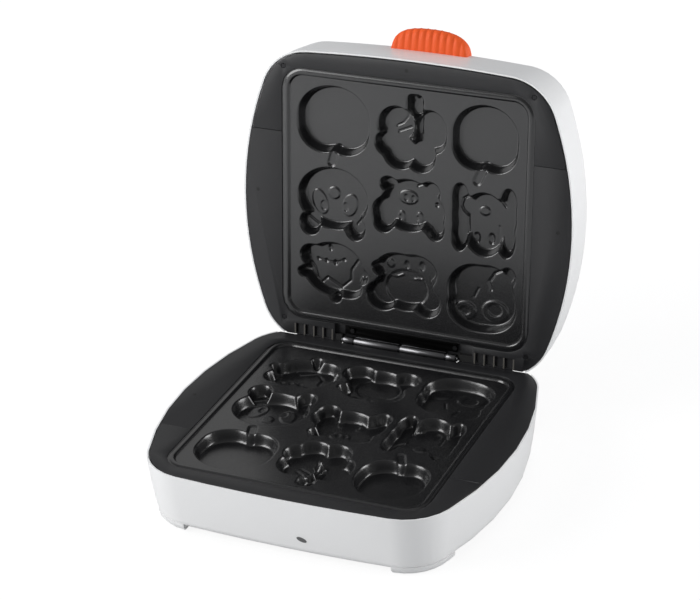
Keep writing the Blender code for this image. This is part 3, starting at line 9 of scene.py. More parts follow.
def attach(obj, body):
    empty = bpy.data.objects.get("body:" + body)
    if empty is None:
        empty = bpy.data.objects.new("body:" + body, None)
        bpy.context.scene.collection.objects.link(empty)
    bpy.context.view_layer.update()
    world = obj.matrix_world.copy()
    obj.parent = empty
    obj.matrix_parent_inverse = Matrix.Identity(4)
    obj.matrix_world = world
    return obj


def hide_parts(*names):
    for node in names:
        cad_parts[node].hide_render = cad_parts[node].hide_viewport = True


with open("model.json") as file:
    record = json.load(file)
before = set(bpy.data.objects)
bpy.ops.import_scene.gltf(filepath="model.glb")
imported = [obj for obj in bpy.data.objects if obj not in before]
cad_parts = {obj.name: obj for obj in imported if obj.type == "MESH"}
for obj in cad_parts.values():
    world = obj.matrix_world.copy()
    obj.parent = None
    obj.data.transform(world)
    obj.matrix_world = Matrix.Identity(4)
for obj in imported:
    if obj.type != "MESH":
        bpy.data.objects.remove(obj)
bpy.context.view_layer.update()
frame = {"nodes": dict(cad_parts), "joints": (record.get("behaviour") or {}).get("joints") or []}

# the plates' square and half the gap between the closed halves
plate_half = 0.088
plate_corner_radius = 0.015
half_gap = 0.0003

# the housings' plan outline, its arcs and where its middle lies
plan_half_width = 0.115
plan_front = 0.1012
plan_centre_y = 0.0027
plan_corner_radius = 0.034
front_bow_radius = 1.10508
side_bow_radius = 0.23005

# the lid's housing
lid_depth = 0.042
lid_draft = 0.08
lid_bulge = 0.0004
lid_edge_round = 0.007
lid_rear_draft = 0.03
lid_rear_wall = 0.002
lid_crown = 0.0012
lid_crown_reach = 0.04
lip_stand = 0.0013
housing_wall = 0.0025
fit_gap = 0.0003
lamp_x = 0.009
lamp_y = -0.07
lens_hole_radius = 0.0037
shell_cutter_margin = 0.002
shell_front_steps = 12
shell_corner_steps = 16
shell_side_steps = 16
shell_round_steps = 6
lid_straight = lid_depth - lid_edge_round
lid_middle = lid_straight / 2

# the surrounds, the hinge and the recess over it
bezel_thickness = 0.0025
bezel_low = half_gap + bezel_thickness
barrel_radius = 0.00275
hinge_margin = 0.011
hinge_y = plate_half + hinge_margin
hinge_z = 0.0008
lid_rear_past_hinge = 0.0014
lid_rear_y = hinge_y + lid_rear_past_hinge
recess_half_width_share = 0.5636
recess_roof_z = 0.00385
shelf_side_wall = 0.002
shelf_thickness = 0.002
trim_gap = 0.00015

# places, in metres, before the stand lifts the model onto its floor
lid_open_degrees = 96.0
hinge_design = Vector((0, hinge_y, hinge_z))
hinge_world = Vector(frame["joints"][0]["pos_m"])
base_place = Matrix.Translation(hinge_world - hinge_design)
lid_swing = Matrix.Rotation(math.radians(-lid_open_degrees), 4, "X")
lid_place = Matrix.Translation(hinge_world) @ lid_swing @ Matrix.Translation(-hinge_design)

# the camera, fitted to the photograph
view_azimuth = math.radians(24.24)
view_elevation = math.radians(27.06)
view_roll = math.radians(-2.31)
view_distance = 1.593
view_right = 0.0035
view_up = 0.0766
focal_pixels = 2495
image_width = 700
sensor_width = 36

# the studio; each light has a name, a place, a size and a power
ambient_tint = (0.95, 0.97, 1, 1)
ambient_level = 0.46
reflected_level = 0.17
light_target = (0, 0, 0.1)
lights = (
    ("key", (-1.3, -1.0, 0.9), 1.2, 25),
    ("fill", (1.5, 0.55, 0.35), 0.9, 15),
    ("top", (-0.2, 0.3, 1.8), 1.4, 1),
    ("rear", (-1.1, 1.3, 0.9), 1.3, 2),
)

# the floor, with painted shade that darkens it where the object stands on it, and how much of it glows
# to the camera
floor_half = 3.0
floor_near_reach = 0.15
floor_far_reach = 0.80
floor_painted_shade_tone = 0.66
floor_far_tone = 0.92
floor_roughness = 0.8
floor_glow = 1.15
floor_glow_share = 0.76

# the cast plates
plate_flange_thickness = 0.004
plate_edge_drop = 0.0006
slab_half = 0.082
slab_depth = 0.0118
bead_width = 0.0045
bead_height = 0.0015
bead_edge_offset = 0.00075
bead_flatness = 4
bead_roundness = 2
cavity_depth = 0.0075
cavity_slope = 0.0025
cavity_edge_round = 0.0008
cavity_blend = 0.0020
stem_depth = 0.0009
relief_edge = 0.0006
relief_height = 0.00042
relief_line_half_width = 0.0005
plate_grid_steps = 340
plate_sharp_degrees = 50

# how far a mould's wall is sampled, in slope widths, and in how many steps
wall_reach_in = 3
wall_reach_out = 2
wall_samples = 501

# the middle share of an oval that counts as equally deep, and what keeps a division from zero
oval_core_share = 0.1
least_divisor = 1e-9

# centre and half size of each mould, in shares of the plate's half width
mould_place_shares = {
    "apple_left": ((-0.588, -0.626), (0.293, 0.268)),
    "tree": ((0.032, -0.614), (0.286, 0.290)),
    "apple_right": ((0.618, -0.637), (0.260, 0.256)),
    "round_eared": ((-0.582, 0.025), (0.292, 0.291)),
    "snouted": ((0.025, -0.034), (0.282, 0.239)),
    "long_eared": ((0.625, -0.019), (0.252, 0.274)),
    "fringed": ((-0.584, 0.580), (0.286, 0.252)),
    "cheeked": ((0.000, 0.582), (0.274, 0.247)),
    "big_eared": ((0.618, 0.606), (0.258, 0.268)),
}

# each ellipse of an outline: centre and radii, in shares of the cavity's half size
apple_shares = (
    (0.00, -0.04, 0.99, 0.93),
    (-0.30, 0.28, 0.68, 0.70),
    (0.32, 0.30, 0.66, 0.70),
)
tree_shares = (
    (-0.40, -0.08, 0.51, 0.54),
    (-0.62, 0.39, 0.37, 0.34),
    (-0.30, 0.60, 0.46, 0.44),
    (0.28, 0.62, 0.42, 0.44),
    (0.60, 0.16, 0.37, 0.36),
    (0.52, -0.06, 0.48, 0.56),
    (0.04, -0.82, 0.15, 0.17),
    (0.20, -0.82, 0.15, 0.17),
    (0.12, -0.60, 0.23, 0.30),
)
round_eared_shares = (
    (-0.03, -0.10, 0.98, 0.84),
    (-0.67, 0.66, 0.29, 0.33),
    (0.60, 0.64, 0.28, 0.33),
)
snouted_shares = (
    (-0.02, 0.00, 0.76, 0.85),
    (-0.58, -0.62, 0.24, 0.25),
    (0.58, -0.50, 0.30, 0.36),
    (-0.66, 0.34, 0.38, 0.52),
    (0.62, 0.20, 0.40, 0.62),
    (-0.72, 0.66, 0.28, 0.34),
    (0.76, 0.66, 0.26, 0.37),
)
long_eared_shares = (
    (0.00, 0.40, 0.62, 0.68),
    (0.00, -0.10, 0.62, 0.62),
    (-0.76, -0.45, 0.27, 0.46),
    (-0.60, 0.03, 0.43, 0.62),
    (-0.76, 0.56, 0.27, 0.46),
    (0.74, -0.45, 0.26, 0.48),
    (0.56, 0.00, 0.44, 0.60),
    (0.70, 0.56, 0.28, 0.48),
)
fringed_shares = (
    (0.00, -0.04, 0.86, 0.86),
    (-0.62, -0.40, 0.34, 0.36),
    (-0.84, 0.16, 0.19, 0.18),
    (0.06, 0.84, 0.17, 0.18),
    (0.82, 0.06, 0.17, 0.24),
    (0.42, 0.48, 0.40, 0.34),
)
cheeked_shares = (
    (-0.20, -0.32, 0.66, 0.58),
    (0.30, -0.36, 0.64, 0.56),
    (-0.80, -0.36, 0.17, 0.20),
    (0.00, 0.20, 0.85, 0.72),
    (-0.66, 0.54, 0.47, 0.48),
    (0.66, 0.60, 0.41, 0.44),
)
big_eared_shares = (
    (-0.20, -0.14, 0.83, 0.80),
    (0.20, -0.10, 0.80, 0.86),
    (-0.16, 0.34, 0.88, 0.70),
    (0.20, 0.30, 0.86, 0.72),
    (0.78, -0.68, 0.24, 0.30),
)

# the stem beside each apple: where it starts and ends, and its half width
stem_shares = (
    ((-0.575, -0.38), (-0.600, -0.290), 0.030),
    ((0.610, -0.40), (0.565, -0.302), 0.030),
)

mould_shares = {
    "apple_left": apple_shares,
    "tree": tree_shares,
    "apple_right": apple_shares,
    "round_eared": round_eared_shares,
    "snouted": snouted_shares,
    "long_eared": long_eared_shares,
    "fringed": fringed_shares,
    "cheeked": cheeked_shares,
    "big_eared": big_eared_shares,
}

# ovals on a mould's floor: centre and radii in shares of its half size, tilt in shares of a
# right angle, height in shares of the relief height, below zero where sunk
oval_shares = {
    "round_eared": (
        (-0.50, 0.13, 0.20, 0.34, -0.22, 1.0),
        (0.34, 0.12, 0.20, 0.31, 0.18, 1.0),
        (-0.40, 0.22, 0.09, 0.13, 0.0, -0.9),
        (0.21, 0.19, 0.08, 0.12, 0.0, -0.9),
        (-0.11, -0.16, 0.16, 0.16, 0.0, 1.2),
    ),
    "snouted": (
        (-0.12, -0.16, 0.27, 0.22, 0.0, 1.2),
        (-0.18, -0.14, 0.06, 0.11, 0.0, -1.0),
        (0.02, -0.13, 0.05, 0.10, 0.0, -1.0),
        (-0.30, 0.52, 0.10, 0.20, 0.0, 1.0),
        (0.21, 0.49, 0.10, 0.20, 0.0, 1.0),
        (-0.34, 0.54, 0.04, 0.10, 0.0, -0.9),
        (0.15, 0.50, 0.04, 0.09, 0.0, -0.9),
        (0.70, -0.03, 0.05, 0.06, 0.0, -1.6),
    ),
    "long_eared": (
        (-0.09, -0.12, 0.16, 0.12, 0.0, 1.2),
        (-0.32, 0.68, 0.09, 0.14, 0.0, -2.0),
        (0.14, 0.66, 0.09, 0.15, 0.0, -2.0),
    ),
    "fringed": (
        (-0.20, -0.61, 0.05, 0.09, 0.0, -1.6),
        (-0.32, -0.17, 0.04, 0.06, 0.0, -1.6),
        (-0.06, -0.15, 0.05, 0.08, 0.0, -1.6),
        (-0.55, -0.20, 0.04, 0.04, 0.0, -1.6),
        (0.20, -0.28, 0.04, 0.04, 0.0, -1.6),
    ),
    "cheeked": (
        (-0.04, 0.32, 0.62, 0.60, 0.0, -1.8),
        (-0.52, -0.44, 0.10, 0.13, 0.0, 1.0),
        (-0.05, -0.44, 0.06, 0.13, 0.0, -1.4),
        (0.40, -0.47, 0.07, 0.14, 0.0, -1.0),
    ),
    "big_eared": (
        (-0.60, 0.58, 0.34, 0.27, 0.0, 1.2),
        (0.33, 0.48, 0.40, 0.32, 0.0, 1.2),
        (0.33, 0.43, 0.22, 0.19, 0.0, -1.0),
        (-0.60, 0.58, 0.15, 0.12, 0.0, -1.0),
    ),
}

# lines on a mould's floor: their points in shares of its half size, half width in shares of the
# line's own, height in shares of the relief height
line_shares = {
    "tree": (
        (((-0.11, -0.52), (-0.18, -0.29), (-0.31, -0.12), (-0.48, -0.03)), 1.0, -1.1),
        (((-0.43, 0.12), (-0.08, -0.04)), 1.4, -0.9),
        (((0.22, -0.46), (0.21, 0.08), (0.15, 0.13)), 1.3, -1.1),
    ),
    "round_eared": (
        (((-0.82, 0.56), (-0.46, 0.79)), 0.9, -1.4),
        (((0.55, 0.62), (0.69, 0.43)), 0.9, -1.2),
    ),
    "snouted": (
        (((0.14, -0.57), (0.35, -0.69)), 0.9, -1.4),
    ),
    "long_eared": (
        (((-0.54, -0.53), (-0.76, -0.39), (-0.83, -0.19), (-0.75, -0.05), (-0.59, 0.07)), 1.0, -2.0),
        (((-0.59, 0.07), (-0.56, 0.93)), 1.0, -2.0),
        (((0.39, -0.52), (0.55, -0.32)), 1.0, -1.4),
        (((0.37, 0.27), (0.38, 0.80)), 0.7, -0.8),
    ),
    "fringed": (
        (((-0.83, -0.53), (-0.86, -0.20), (-0.64, 0.09), (-0.56, 0.68)), 0.9, -1.6),
        (
            ((-0.56, 0.68), (-0.28, 0.36), (0.15, 0.61), (0.40, 0.34), (0.41, 0.01), (0.60, -0.32)),
            0.9,
            -1.8,
        ),
        (((-0.59, -0.22), (-0.32, -0.17), (-0.06, -0.15), (0.20, -0.28)), 0.6, -0.8),
    ),
    "cheeked": (
        (((-0.52, -0.04), (-0.32, -0.03), (-0.16, -0.12)), 0.9, 1.4),
        (((0.18, -0.02), (0.42, -0.05)), 0.9, 1.4),
    ),
    "big_eared": (
        (((0.73, -0.90), (0.30, -0.66), (0.13, -0.39), (0.19, -0.15)), 1.3, -2.0),
        (((-0.20, -0.14), (-0.32, 0.13)), 0.9, -1.2),
    ),
}

# the grip: its place, its flutes and the round shape of its sections
handle_x = 0.0036
handle_half_width = 0.0265
handle_reach = 0.0142
handle_low_z = 0.0288
handle_high_z = 0.0388
handle_flutes = 11
handle_flute_depth = 0.0013
handle_plan_power = 2.6
handle_front_power = 0.6
handle_side_power = 0.7
handle_taper_share = 0.16
handle_flute_top_share = 0.3
handle_root_sink = 0.0004
handle_rows_per_flute = 8
handle_section_steps = 10
handle_sharp_degrees = 60

# the vent slots' floors, the ribs between them and the filling beside the hinge
slot_first_share = 0.6227
slot_pitch_share = 0.0781
slot_width_share = 0.0591
slot_front_margin = 0.0045
slot_front_y = plate_half + slot_front_margin + trim_gap
trim_rear_y = lid_rear_y - trim_gap
slots_per_side = 4
slot_floor_depth = 0.0018
slot_end_depth = 0.0006
slot_end_width = 0.0008
slot_rib_half_width = 0.00055
slot_rib_height = 0.0002
slot_rib_sides = 8
recess_end_starts = (-0.0443, 0.0398)
recess_end_front = 0.0955
recess_end_low = 0.0008

# the lip behind the base's surround
base_lip_ends = ((-0.078, -0.0446), (0.0401, 0.078))
base_lip_before_hinge = 0.0015
base_lip_reach = 0.002
base_lip_top = -0.0008
base_lip_low = -0.0024

# the washers between the hinge's knuckles
washer_end_shares = (
    (-0.4898, -0.4852),
    (-0.4091, -0.3955),
    (-0.0364, -0.0159),
    (0.3443, 0.3614),
    (0.4341, 0.4386),
)
washer_inner_radius = 0.0015
washer_outer_radius = 0.0026
washer_gap = 0.0001
washer_sides = 32

# the mould marks on the surrounds
circle_sides = 24
dot_radius = 0.0013
dot_height = 0.00006
dot_sink = 0.0003
lid_dots = ((0, -0.095), (-0.106, 0), (0.106, 0))
base_dots = ((-0.106, -0.0016),)

# the plain oval inlay low on the base's front
inlay_x = 0.013
inlay_z = -0.028
inlay_radii = (0.0034, 0.0017)
inlay_tilt_degrees = -18
inlay_wall_degrees = 8.4
inlay_wall_inset = 0.00205
inlay_height = 0.0001
inlay_sink = 0.0003

# small edge rounds that the carried-over nodes get
edge_round = 0.00022
edge_round_segments = 2
weld_reach = 0.000002
sharp_degrees = 38

# the finish of each node, by the first word that its name holds
finish_by_word = (
    ("screw", "black_steel"),
    ("shell", "white"),
    ("bezel", "charcoal"),
    ("hinge", "hinge_steel"),
    ("pad", "rubber"),
    ("gland", "rubber"),
    ("handle", "orange"),
    ("plate", "coating"),
    ("shield", "zinc"),
    ("heater_lead", "lead"),
    ("thermostat_lead", "lead"),
    ("heater", "heater_steel"),
    ("terminal", "ceramic"),
    ("fuse", "ceramic"),
    ("thermostat", "zinc"),
    ("power_lens", "red_lens"),
    ("ready_lens", "green_lens"),
    ("lamp", "lamp"),
)

# the two tones that each finish wanders between
tones = {
    "white": ((0.80, 0.80, 0.80), (0.83, 0.83, 0.83)),
    "charcoal": ((0.0150, 0.0150, 0.0165), (0.0195, 0.0195, 0.0210)),
    "orange": ((0.82, 0.100, 0.018), (0.86, 0.120, 0.024)),
    # the ribs' light brownish grey is a painted highlight along the vent slots' edges
    "rib": ((0.085, 0.079, 0.070), (0.105, 0.098, 0.088)),
    "inlay": ((0.085, 0.085, 0.085), (0.115, 0.115, 0.115)),
    "coating": ((0.0055, 0.0055, 0.0062), (0.0075, 0.0075, 0.0085)),
    # the recess tone, darker than the charcoal plastic, is painted shade in the hinge recess; the mould
    # marks take it too
    "recess": ((0.006, 0.006, 0.006), (0.009, 0.009, 0.009)),
    "rubber": ((0.015, 0.015, 0.015), (0.022, 0.022, 0.022)),
    "lead": ((0.78, 0.74, 0.64), (0.82, 0.79, 0.70)),
    "ceramic": ((0.78, 0.74, 0.64), (0.82, 0.79, 0.70)),
    "red_lens": ((0.45, 0.01, 0.01), (0.55, 0.02, 0.02)),
    "green_lens": ((0.01, 0.30, 0.05), (0.02, 0.38, 0.08)),
    "lamp": ((0.75, 0.72, 0.66), (0.82, 0.80, 0.75)),
    "hinge_steel": ((0.165, 0.165, 0.172), (0.21, 0.21, 0.218)),
    "black_steel": ((0.035, 0.035, 0.037), (0.06, 0.06, 0.063)),
    "heater_steel": ((0.20, 0.19, 0.18), (0.30, 0.28, 0.26)),
    "zinc": ((0.52, 0.53, 0.54), (0.60, 0.61, 0.62)),
}

# scale, detail and roughness of clouds and grains, but a plastic's row gives its grain's scale
plastic_cloud = (22, 3, 0.5)
plastic_grain = (4, 0.6)
plastic_bump_strength = 0.5
metal_cloud = (120, 4, 0.6)
metal_grain = (2600, 3, 0.5)
metal_bump_strength = 0.3
metal_grain_depth = 0.00002

# plastics: material name, least and most roughness, grain scale and grain depth
plastics = {
    "white": ("white_plastic", 0.26, 0.38, 1800, 0.00002),
    "charcoal": ("charcoal_plastic", 0.38, 0.56, 2400, 0.00005),
    "orange": ("orange_plastic", 0.42, 0.56, 1500, 0.00002),
    # the rib row is a painted highlight
    "rib": ("rib_painted_highlight", 0.35, 0.5, 2400, 0.00003),
    "inlay": ("grey_inlay", 0.35, 0.5, 1800, 0.00002),
    "coating": ("dark_coating", 0.21, 0.31, 3200, 0.00003),
    # the recess row is painted shade
    "recess": ("recess_painted_shade", 0.5, 0.7, 2400, 0.00005),
    "rubber": ("black_rubber", 0.65, 0.85, 1800, 0.00005),
    "lead": ("sleeved_lead", 0.5, 0.7, 2600, 0.00004),
    "ceramic": ("cream_ceramic", 0.35, 0.5, 1200, 0.00002),
    "red_lens": ("red_lens", 0.08, 0.16, 900, 0.00001),
    "green_lens": ("green_lens", 0.08, 0.16, 900, 0.00001),
    "lamp": ("lamp_body", 0.2, 0.3, 900, 0.00001),
}

# metals: material name, least and most roughness
metals = {
    "hinge_steel": ("hinge_steel", 0.26, 0.40),
    "black_steel": ("black_steel", 0.35, 0.5),
    "heater_steel": ("heater_steel", 0.4, 0.55),
    "zinc": ("zinc_sheet", 0.3, 0.45),
}

# the blackened leaves of the hinge, and how far its satin barrels reach
hinge_leaf_tone = (0.012, 0.012, 0.012)
barrel_finish_share = 1.1

# how strongly the plates' coating and the grip mirror
coating_ior = 1.8
grip_specular_level = 0.22


# Finishes


def shader_of(material):
    """A material's surface shader."""
    return material.node_tree.nodes["Principled BSDF"]


def new_material(name):
    """Makes a node material and returns it with its tree and shader."""
    material = bpy.data.materials.new(name)
    material.use_nodes = True
    return material, material.node_tree, shader_of(material)


def noise(tree, scale, detail, roughness):
    """Adds noise that lies in the object's own coordinates."""
    place = tree.nodes.new("ShaderNodeTexCoord")
    texture = tree.nodes.new("ShaderNodeTexNoise")
    texture.inputs["Scale"].default_value = scale
    texture.inputs["Detail"].default_value = detail
    texture.inputs["Roughness"].default_value = roughness
    tree.links.new(place.outputs["Object"], texture.inputs["Vector"])
    return texture.outputs["Fac"]


def ramp(tree, value, low, high):
    """Maps a value from 0 and 1 onto low and high."""
    node = tree.nodes.new("ShaderNodeMapRange")
    node.inputs["To Min"].default_value = low
    node.inputs["To Max"].default_value = high
    tree.links.new(value, node.inputs["Value"])
    return node.outputs["Result"]


def blend_colours(tree, value, first, second):
    """Mixes two colours by a value."""
    node = tree.nodes.new("ShaderNodeMix")
    node.data_type = "RGBA"
    node.inputs["A"].default_value = (*first, 1)
    node.inputs["B"].default_value = (*second, 1)
    tree.links.new(value, node.inputs["Factor"])
    return node.outputs["Result"]


def bump(tree, value, strength, depth):
    """Turns a value into a bump of that depth."""
    node = tree.nodes.new("ShaderNodeBump")
    node.inputs["Strength"].default_value = strength
    node.inputs["Distance"].default_value = depth
    tree.links.new(value, node.inputs["Height"])
    return node.outputs["Normal"]


def grained(name, finish, roughness, cloud, grain, bump_strength, grain_depth):
    """A material whose tone is slightly cloudy and whose shine has a fine grain."""
    material, tree, shader = new_material(name)
    clouds = noise(tree, *cloud)
    grains = noise(tree, *grain)
    relief = bump(tree, grains, bump_strength, grain_depth)
    tree.links.new(blend_colours(tree, clouds, *tones[finish]), shader.inputs["Base Color"])
    tree.links.new(ramp(tree, grains, *roughness), shader.inputs["Roughness"])
    tree.links.new(relief, shader.inputs["Normal"])
    return material


def plastic(finish):
    """A moulded plastic, rubber, ceramic or coating."""
    name, rough_low, rough_high, grain_scale, grain_depth = plastics[finish]
    grain = (grain_scale, *plastic_grain)
    roughness = (rough_low, rough_high)
    return grained(name, finish, roughness, plastic_cloud, grain, plastic_bump_strength, grain_depth)


def metal(finish):
    """A metal with fine streaks."""
    name, *roughness = metals[finish]
    material = grained(
        name, finish, roughness, metal_cloud, metal_grain, metal_bump_strength, metal_grain_depth
    )
    shader_of(material).inputs["Metallic"].default_value = 1
    return material


def vector_math(tree, operation, value):
    """Adds a step of vector arithmetic and links a value to it."""
    node = tree.nodes.new("ShaderNodeVectorMath")
    node.operation = operation
    tree.links.new(value, node.inputs[0])
    return node


def blacken_leaves(material):
    """Keeps the hinge's steel on its barrels and blackens the leaves that they are rolled from."""
    tree = material.node_tree
    base_colour = shader_of(material).inputs["Base Color"]
    steel = base_colour.links[0].from_socket
    place = tree.nodes.new("ShaderNodeTexCoord")
    away = vector_math(tree, "SUBTRACT", place.outputs["Object"])
    away.inputs[1].default_value = hinge_world
    across = vector_math(tree, "MULTIPLY", away.outputs["Vector"])
    across.inputs[1].default_value = (0, 1, 1)
    reach = vector_math(tree, "LENGTH", across.outputs["Vector"])
    past = tree.nodes.new("ShaderNodeMath")
    past.operation = "GREATER_THAN"
    past.inputs[1].default_value = barrel_radius * barrel_finish_share
    tree.links.new(reach.outputs["Value"], past.inputs[0])
    mix = tree.nodes.new("ShaderNodeMix")
    mix.data_type = "RGBA"
    mix.inputs["B"].default_value = (*hinge_leaf_tone, 1)
    tree.links.new(past.outputs["Value"], mix.inputs["Factor"])
    tree.links.new(steel, mix.inputs["A"])
    tree.links.new(mix.outputs["Result"], base_colour)


def make_finishes():
    """Makes every finish once and returns them by name."""
    finishes = {finish: plastic(finish) for finish in plastics}
    finishes.update({finish: metal(finish) for finish in metals})
    blacken_leaves(finishes["hinge_steel"])
    shader_of(finishes["coating"]).inputs["IOR"].default_value = coating_ior
    shader_of(finishes["orange"]).inputs["Specular IOR Level"].default_value = grip_specular_level
    return finishes


def smooth(piece, degrees):
    """Shades a piece smoothly, with sharp edges past an angle."""
    piece.data.shade_smooth()
    piece.data.set_sharp_from_angle(angle=math.radians(degrees))


def round_edges(piece, width):
    """Joins a carried-over node's facets, then rounds or splits its sharp edges."""
    weld = piece.modifiers.new("weld", "WELD")
    weld.merge_threshold = weld_reach
    if width > 0:
        rounding = piece.modifiers.new("rounding", "BEVEL")
        rounding.width = width
        rounding.segments = edge_round_segments
        rounding.limit_method = "ANGLE"
        rounding.angle_limit = math.radians(sharp_degrees)
        rounding.harden_normals = True
    else:
        split = piece.modifiers.new("edges", "EDGE_SPLIT")
        split.split_angle = math.radians(sharp_degrees)


def weigh_normals(piece):
    """Lets the large faces of a housing set its shading."""
    flatten = piece.modifiers.new("flatten", "WEIGHTED_NORMAL")
    flatten.keep_sharp = True


def dress_nodes(finishes):
    """Gives every carried-over node its finish."""
    for name, piece in frame["nodes"].items():
        finish = next(finish for word, finish in finish_by_word if word in name)
        piece.data.materials.clear()
        piece.data.materials.append(finishes[finish])
        piece.data.shade_smooth()
        round_edges(piece, 0 if "screw" in name or "lens" in name else edge_round)
        if "shell" in name:
            weigh_normals(piece)


# The studio


def add_camera():
    """Puts the camera where the photograph was taken from."""
    back = Vector(
        (
            math.sin(view_azimuth) * math.cos(view_elevation),
            -math.cos(view_azimuth) * math.cos(view_elevation),
            math.sin(view_elevation),
        )
    )
    right = (-back).cross(Vector((0, 0, 1))).normalized()
    up = right.cross(-back)
    turned_right = math.cos(view_roll) * right + math.sin(view_roll) * up
    turned_up = -math.sin(view_roll) * right + math.cos(view_roll) * up
    place = back * view_distance + turned_right * view_right + turned_up * view_up
    place = base_place @ place
    columns = (turned_right, turned_up, back)
    turn = Matrix([[column[row] for column in columns] for row in range(3)])
    data = bpy.data.cameras.new("camera")
    data.sensor_width = sensor_width
    data.lens = focal_pixels * sensor_width / image_width
    camera = bpy.data.objects.new("camera", data)
    camera.matrix_world = Matrix.Translation(place) @ turn.to_4x4()
    bpy.context.scene.collection.objects.link(camera)
    bpy.context.scene.camera = camera


def add_light(name, place, size, power):
    """Adds a square soft light that faces the object."""
    data = bpy.data.lights.new(name, "AREA")
    data.size = size
    data.energy = power
    light = bpy.data.objects.new(name, data)
    facing = (Vector(light_target) - Vector(place)).to_track_quat("-Z", "Y")
    light.matrix_world = Matrix.Translation(place) @ facing.to_matrix().to_4x4()
    bpy.context.scene.collection.objects.link(light)


def background(tree, colour, level):
    """Adds an even background and returns its output."""
    node = tree.nodes.new("ShaderNodeBackground")
    node.inputs["Color"].default_value = colour
    node.inputs["Strength"].default_value = level
    return node.outputs[0]


def add_world():
    """Lights the scene evenly and shows white behind it."""
    world = bpy.data.worlds.new("studio")
    bpy.context.scene.world = world
    world.use_nodes = True
    tree = world.node_tree
    tree.nodes.clear()
    output = tree.nodes.new("ShaderNodeOutputWorld")
    path = tree.nodes.new("ShaderNodeLightPath")
    lit = background(tree, ambient_tint, ambient_level)
    levels = (("Is Glossy Ray", reflected_level), ("Is Transmission Ray", 1), ("Is Camera Ray", 1))
    for ray, level in levels:
        seen = background(tree, (1, 1, 1, 1), level)
        mix = tree.nodes.new("ShaderNodeMixShader")
        tree.links.new(path.outputs[ray], mix.inputs[0])
        tree.links.new(lit, mix.inputs[1])
        tree.links.new(seen, mix.inputs[2])
        lit = mix.outputs[0]
    tree.links.new(lit, output.inputs[0])


def floor_material():
    """A pale matt floor that glows for the camera, with painted shade that darkens it where the object
    stands.
    """
    material, tree, shader = new_material("pale_floor")
    place = tree.nodes.new("ShaderNodeTexCoord")
    away = vector_math(tree, "LENGTH", place.outputs["Object"])
    # painted shade: the floor's tone darkens from far away towards the object
    falloff = tree.nodes.new("ShaderNodeMapRange")
    falloff.interpolation_type = "SMOOTHSTEP"
    falloff.inputs["From Min"].default_value = floor_near_reach
    falloff.inputs["From Max"].default_value = floor_far_reach
    tree.links.new(away.outputs["Value"], falloff.inputs["Value"])
    near, far = [floor_painted_shade_tone] * 3, [floor_far_tone] * 3
    tone = blend_colours(tree, falloff.outputs["Result"], near, far)
    tree.links.new(tone, shader.inputs["Base Color"])
    shader.inputs["Roughness"].default_value = floor_roughness
    output = tree.nodes["Material Output"]
    glow = tree.nodes.new("ShaderNodeEmission")
    glow.inputs["Strength"].default_value = floor_glow
    path = tree.nodes.new("ShaderNodeLightPath")
    share = ramp(tree, path.outputs["Is Camera Ray"], 0, floor_glow_share)
    mix = tree.nodes.new("ShaderNodeMixShader")
    tree.links.new(share, mix.inputs[0])
    tree.links.new(shader.outputs[0], mix.inputs[1])
    tree.links.new(glow.outputs[0], mix.inputs[2])
    tree.links.new(mix.outputs[0], output.inputs["Surface"])
    return material


def add_floor():
    """Adds the floor that the object stands on."""
    corners = [(-1, -1), (1, -1), (1, 1), (-1, 1)]
    points = [(floor_half * x, floor_half * y, 0) for x, y in corners]
    floor = add_mesh("floor", (points, [(0, 1, 2, 3)]), Matrix())
    floor.data.materials.append(floor_material())


# Shapes: a shape is a list of points and a list of faces


def add_mesh(name, shape, place):
    """Adds a shape to the scene at a place."""
    points, faces = shape
    mesh = bpy.data.meshes.new(name)
    mesh.from_pydata([tuple(place @ Vector(point)) for point in points], [], faces)
    mesh.validate()
    piece = bpy.data.objects.new(name, mesh)
    bpy.context.scene.collection.objects.link(piece)
    return piece


def add_piece(name, shape, place, body, finish, degrees=sharp_degrees):
    """Adds a shape as a finished piece that rides on a body."""
    piece = add_mesh(name, shape, place)
    piece.data.materials.append(finish)
    smooth(piece, degrees)
    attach(piece, body)
    return piece


def merged(shapes):
    """Joins several shapes into one."""
    points, faces = [], []
    for shape_points, shape_faces in shapes:
        start = len(points)
        points += shape_points
        faces += [tuple(start + corner for corner in face) for face in shape_faces]
    return points, faces


def loft(rings):
    """A closed shape through rings of equally many points."""
    width = len(rings[0])
    points = [point for ring in rings for point in ring]
    faces = []
    for row in range(len(rings) - 1):
        here, there = row * width, (row + 1) * width
        for step in range(width):
            after = (step + 1) % width
            faces.append((here + step, here + after, there + after, there + step))
    faces.append(tuple(range(width))[::-1])
    faces.append(tuple(range(len(points) - width, len(points))))
    return points, faces


def block(low, high):
    """A block given by two corners."""
    corners = [(low[0], low[1]), (high[0], low[1]), (high[0], high[1]), (low[0], high[1])]
    return loft([[(x, y, z) for x, y in corners] for z in (low[2], high[2])])


def arc_points(centre, radius, start, stop, steps):
    """Points along an arc, both ends included."""
    middle_x, middle_y = centre
    turns = [start + (stop - start) * step / steps for step in range(steps + 1)]
    return [(middle_x + radius * math.cos(turn), middle_y + radius * math.sin(turn)) for turn in turns]


def circle(centre, radius, z):
    """A ring of points round an upright axis."""
    arc = arc_points(centre, radius, 0, math.tau, circle_sides)
    return [(x, y, z) for x, y in arc[:-1]]


# The cast plates


def oval_distance(off_x, off_y, radius_x, radius_y):
    """Nearly the distance from an ellipse, below zero inside it."""
    reach = numpy.hypot(off_x / radius_x, off_y / radius_y)
    slope = numpy.hypot(off_x / radius_x**2, off_y / radius_y**2)
    distance = reach * (reach - 1) / numpy.maximum(slope, least_divisor)
    return numpy.where(reach > oval_core_share, distance, -min(radius_x, radius_y))


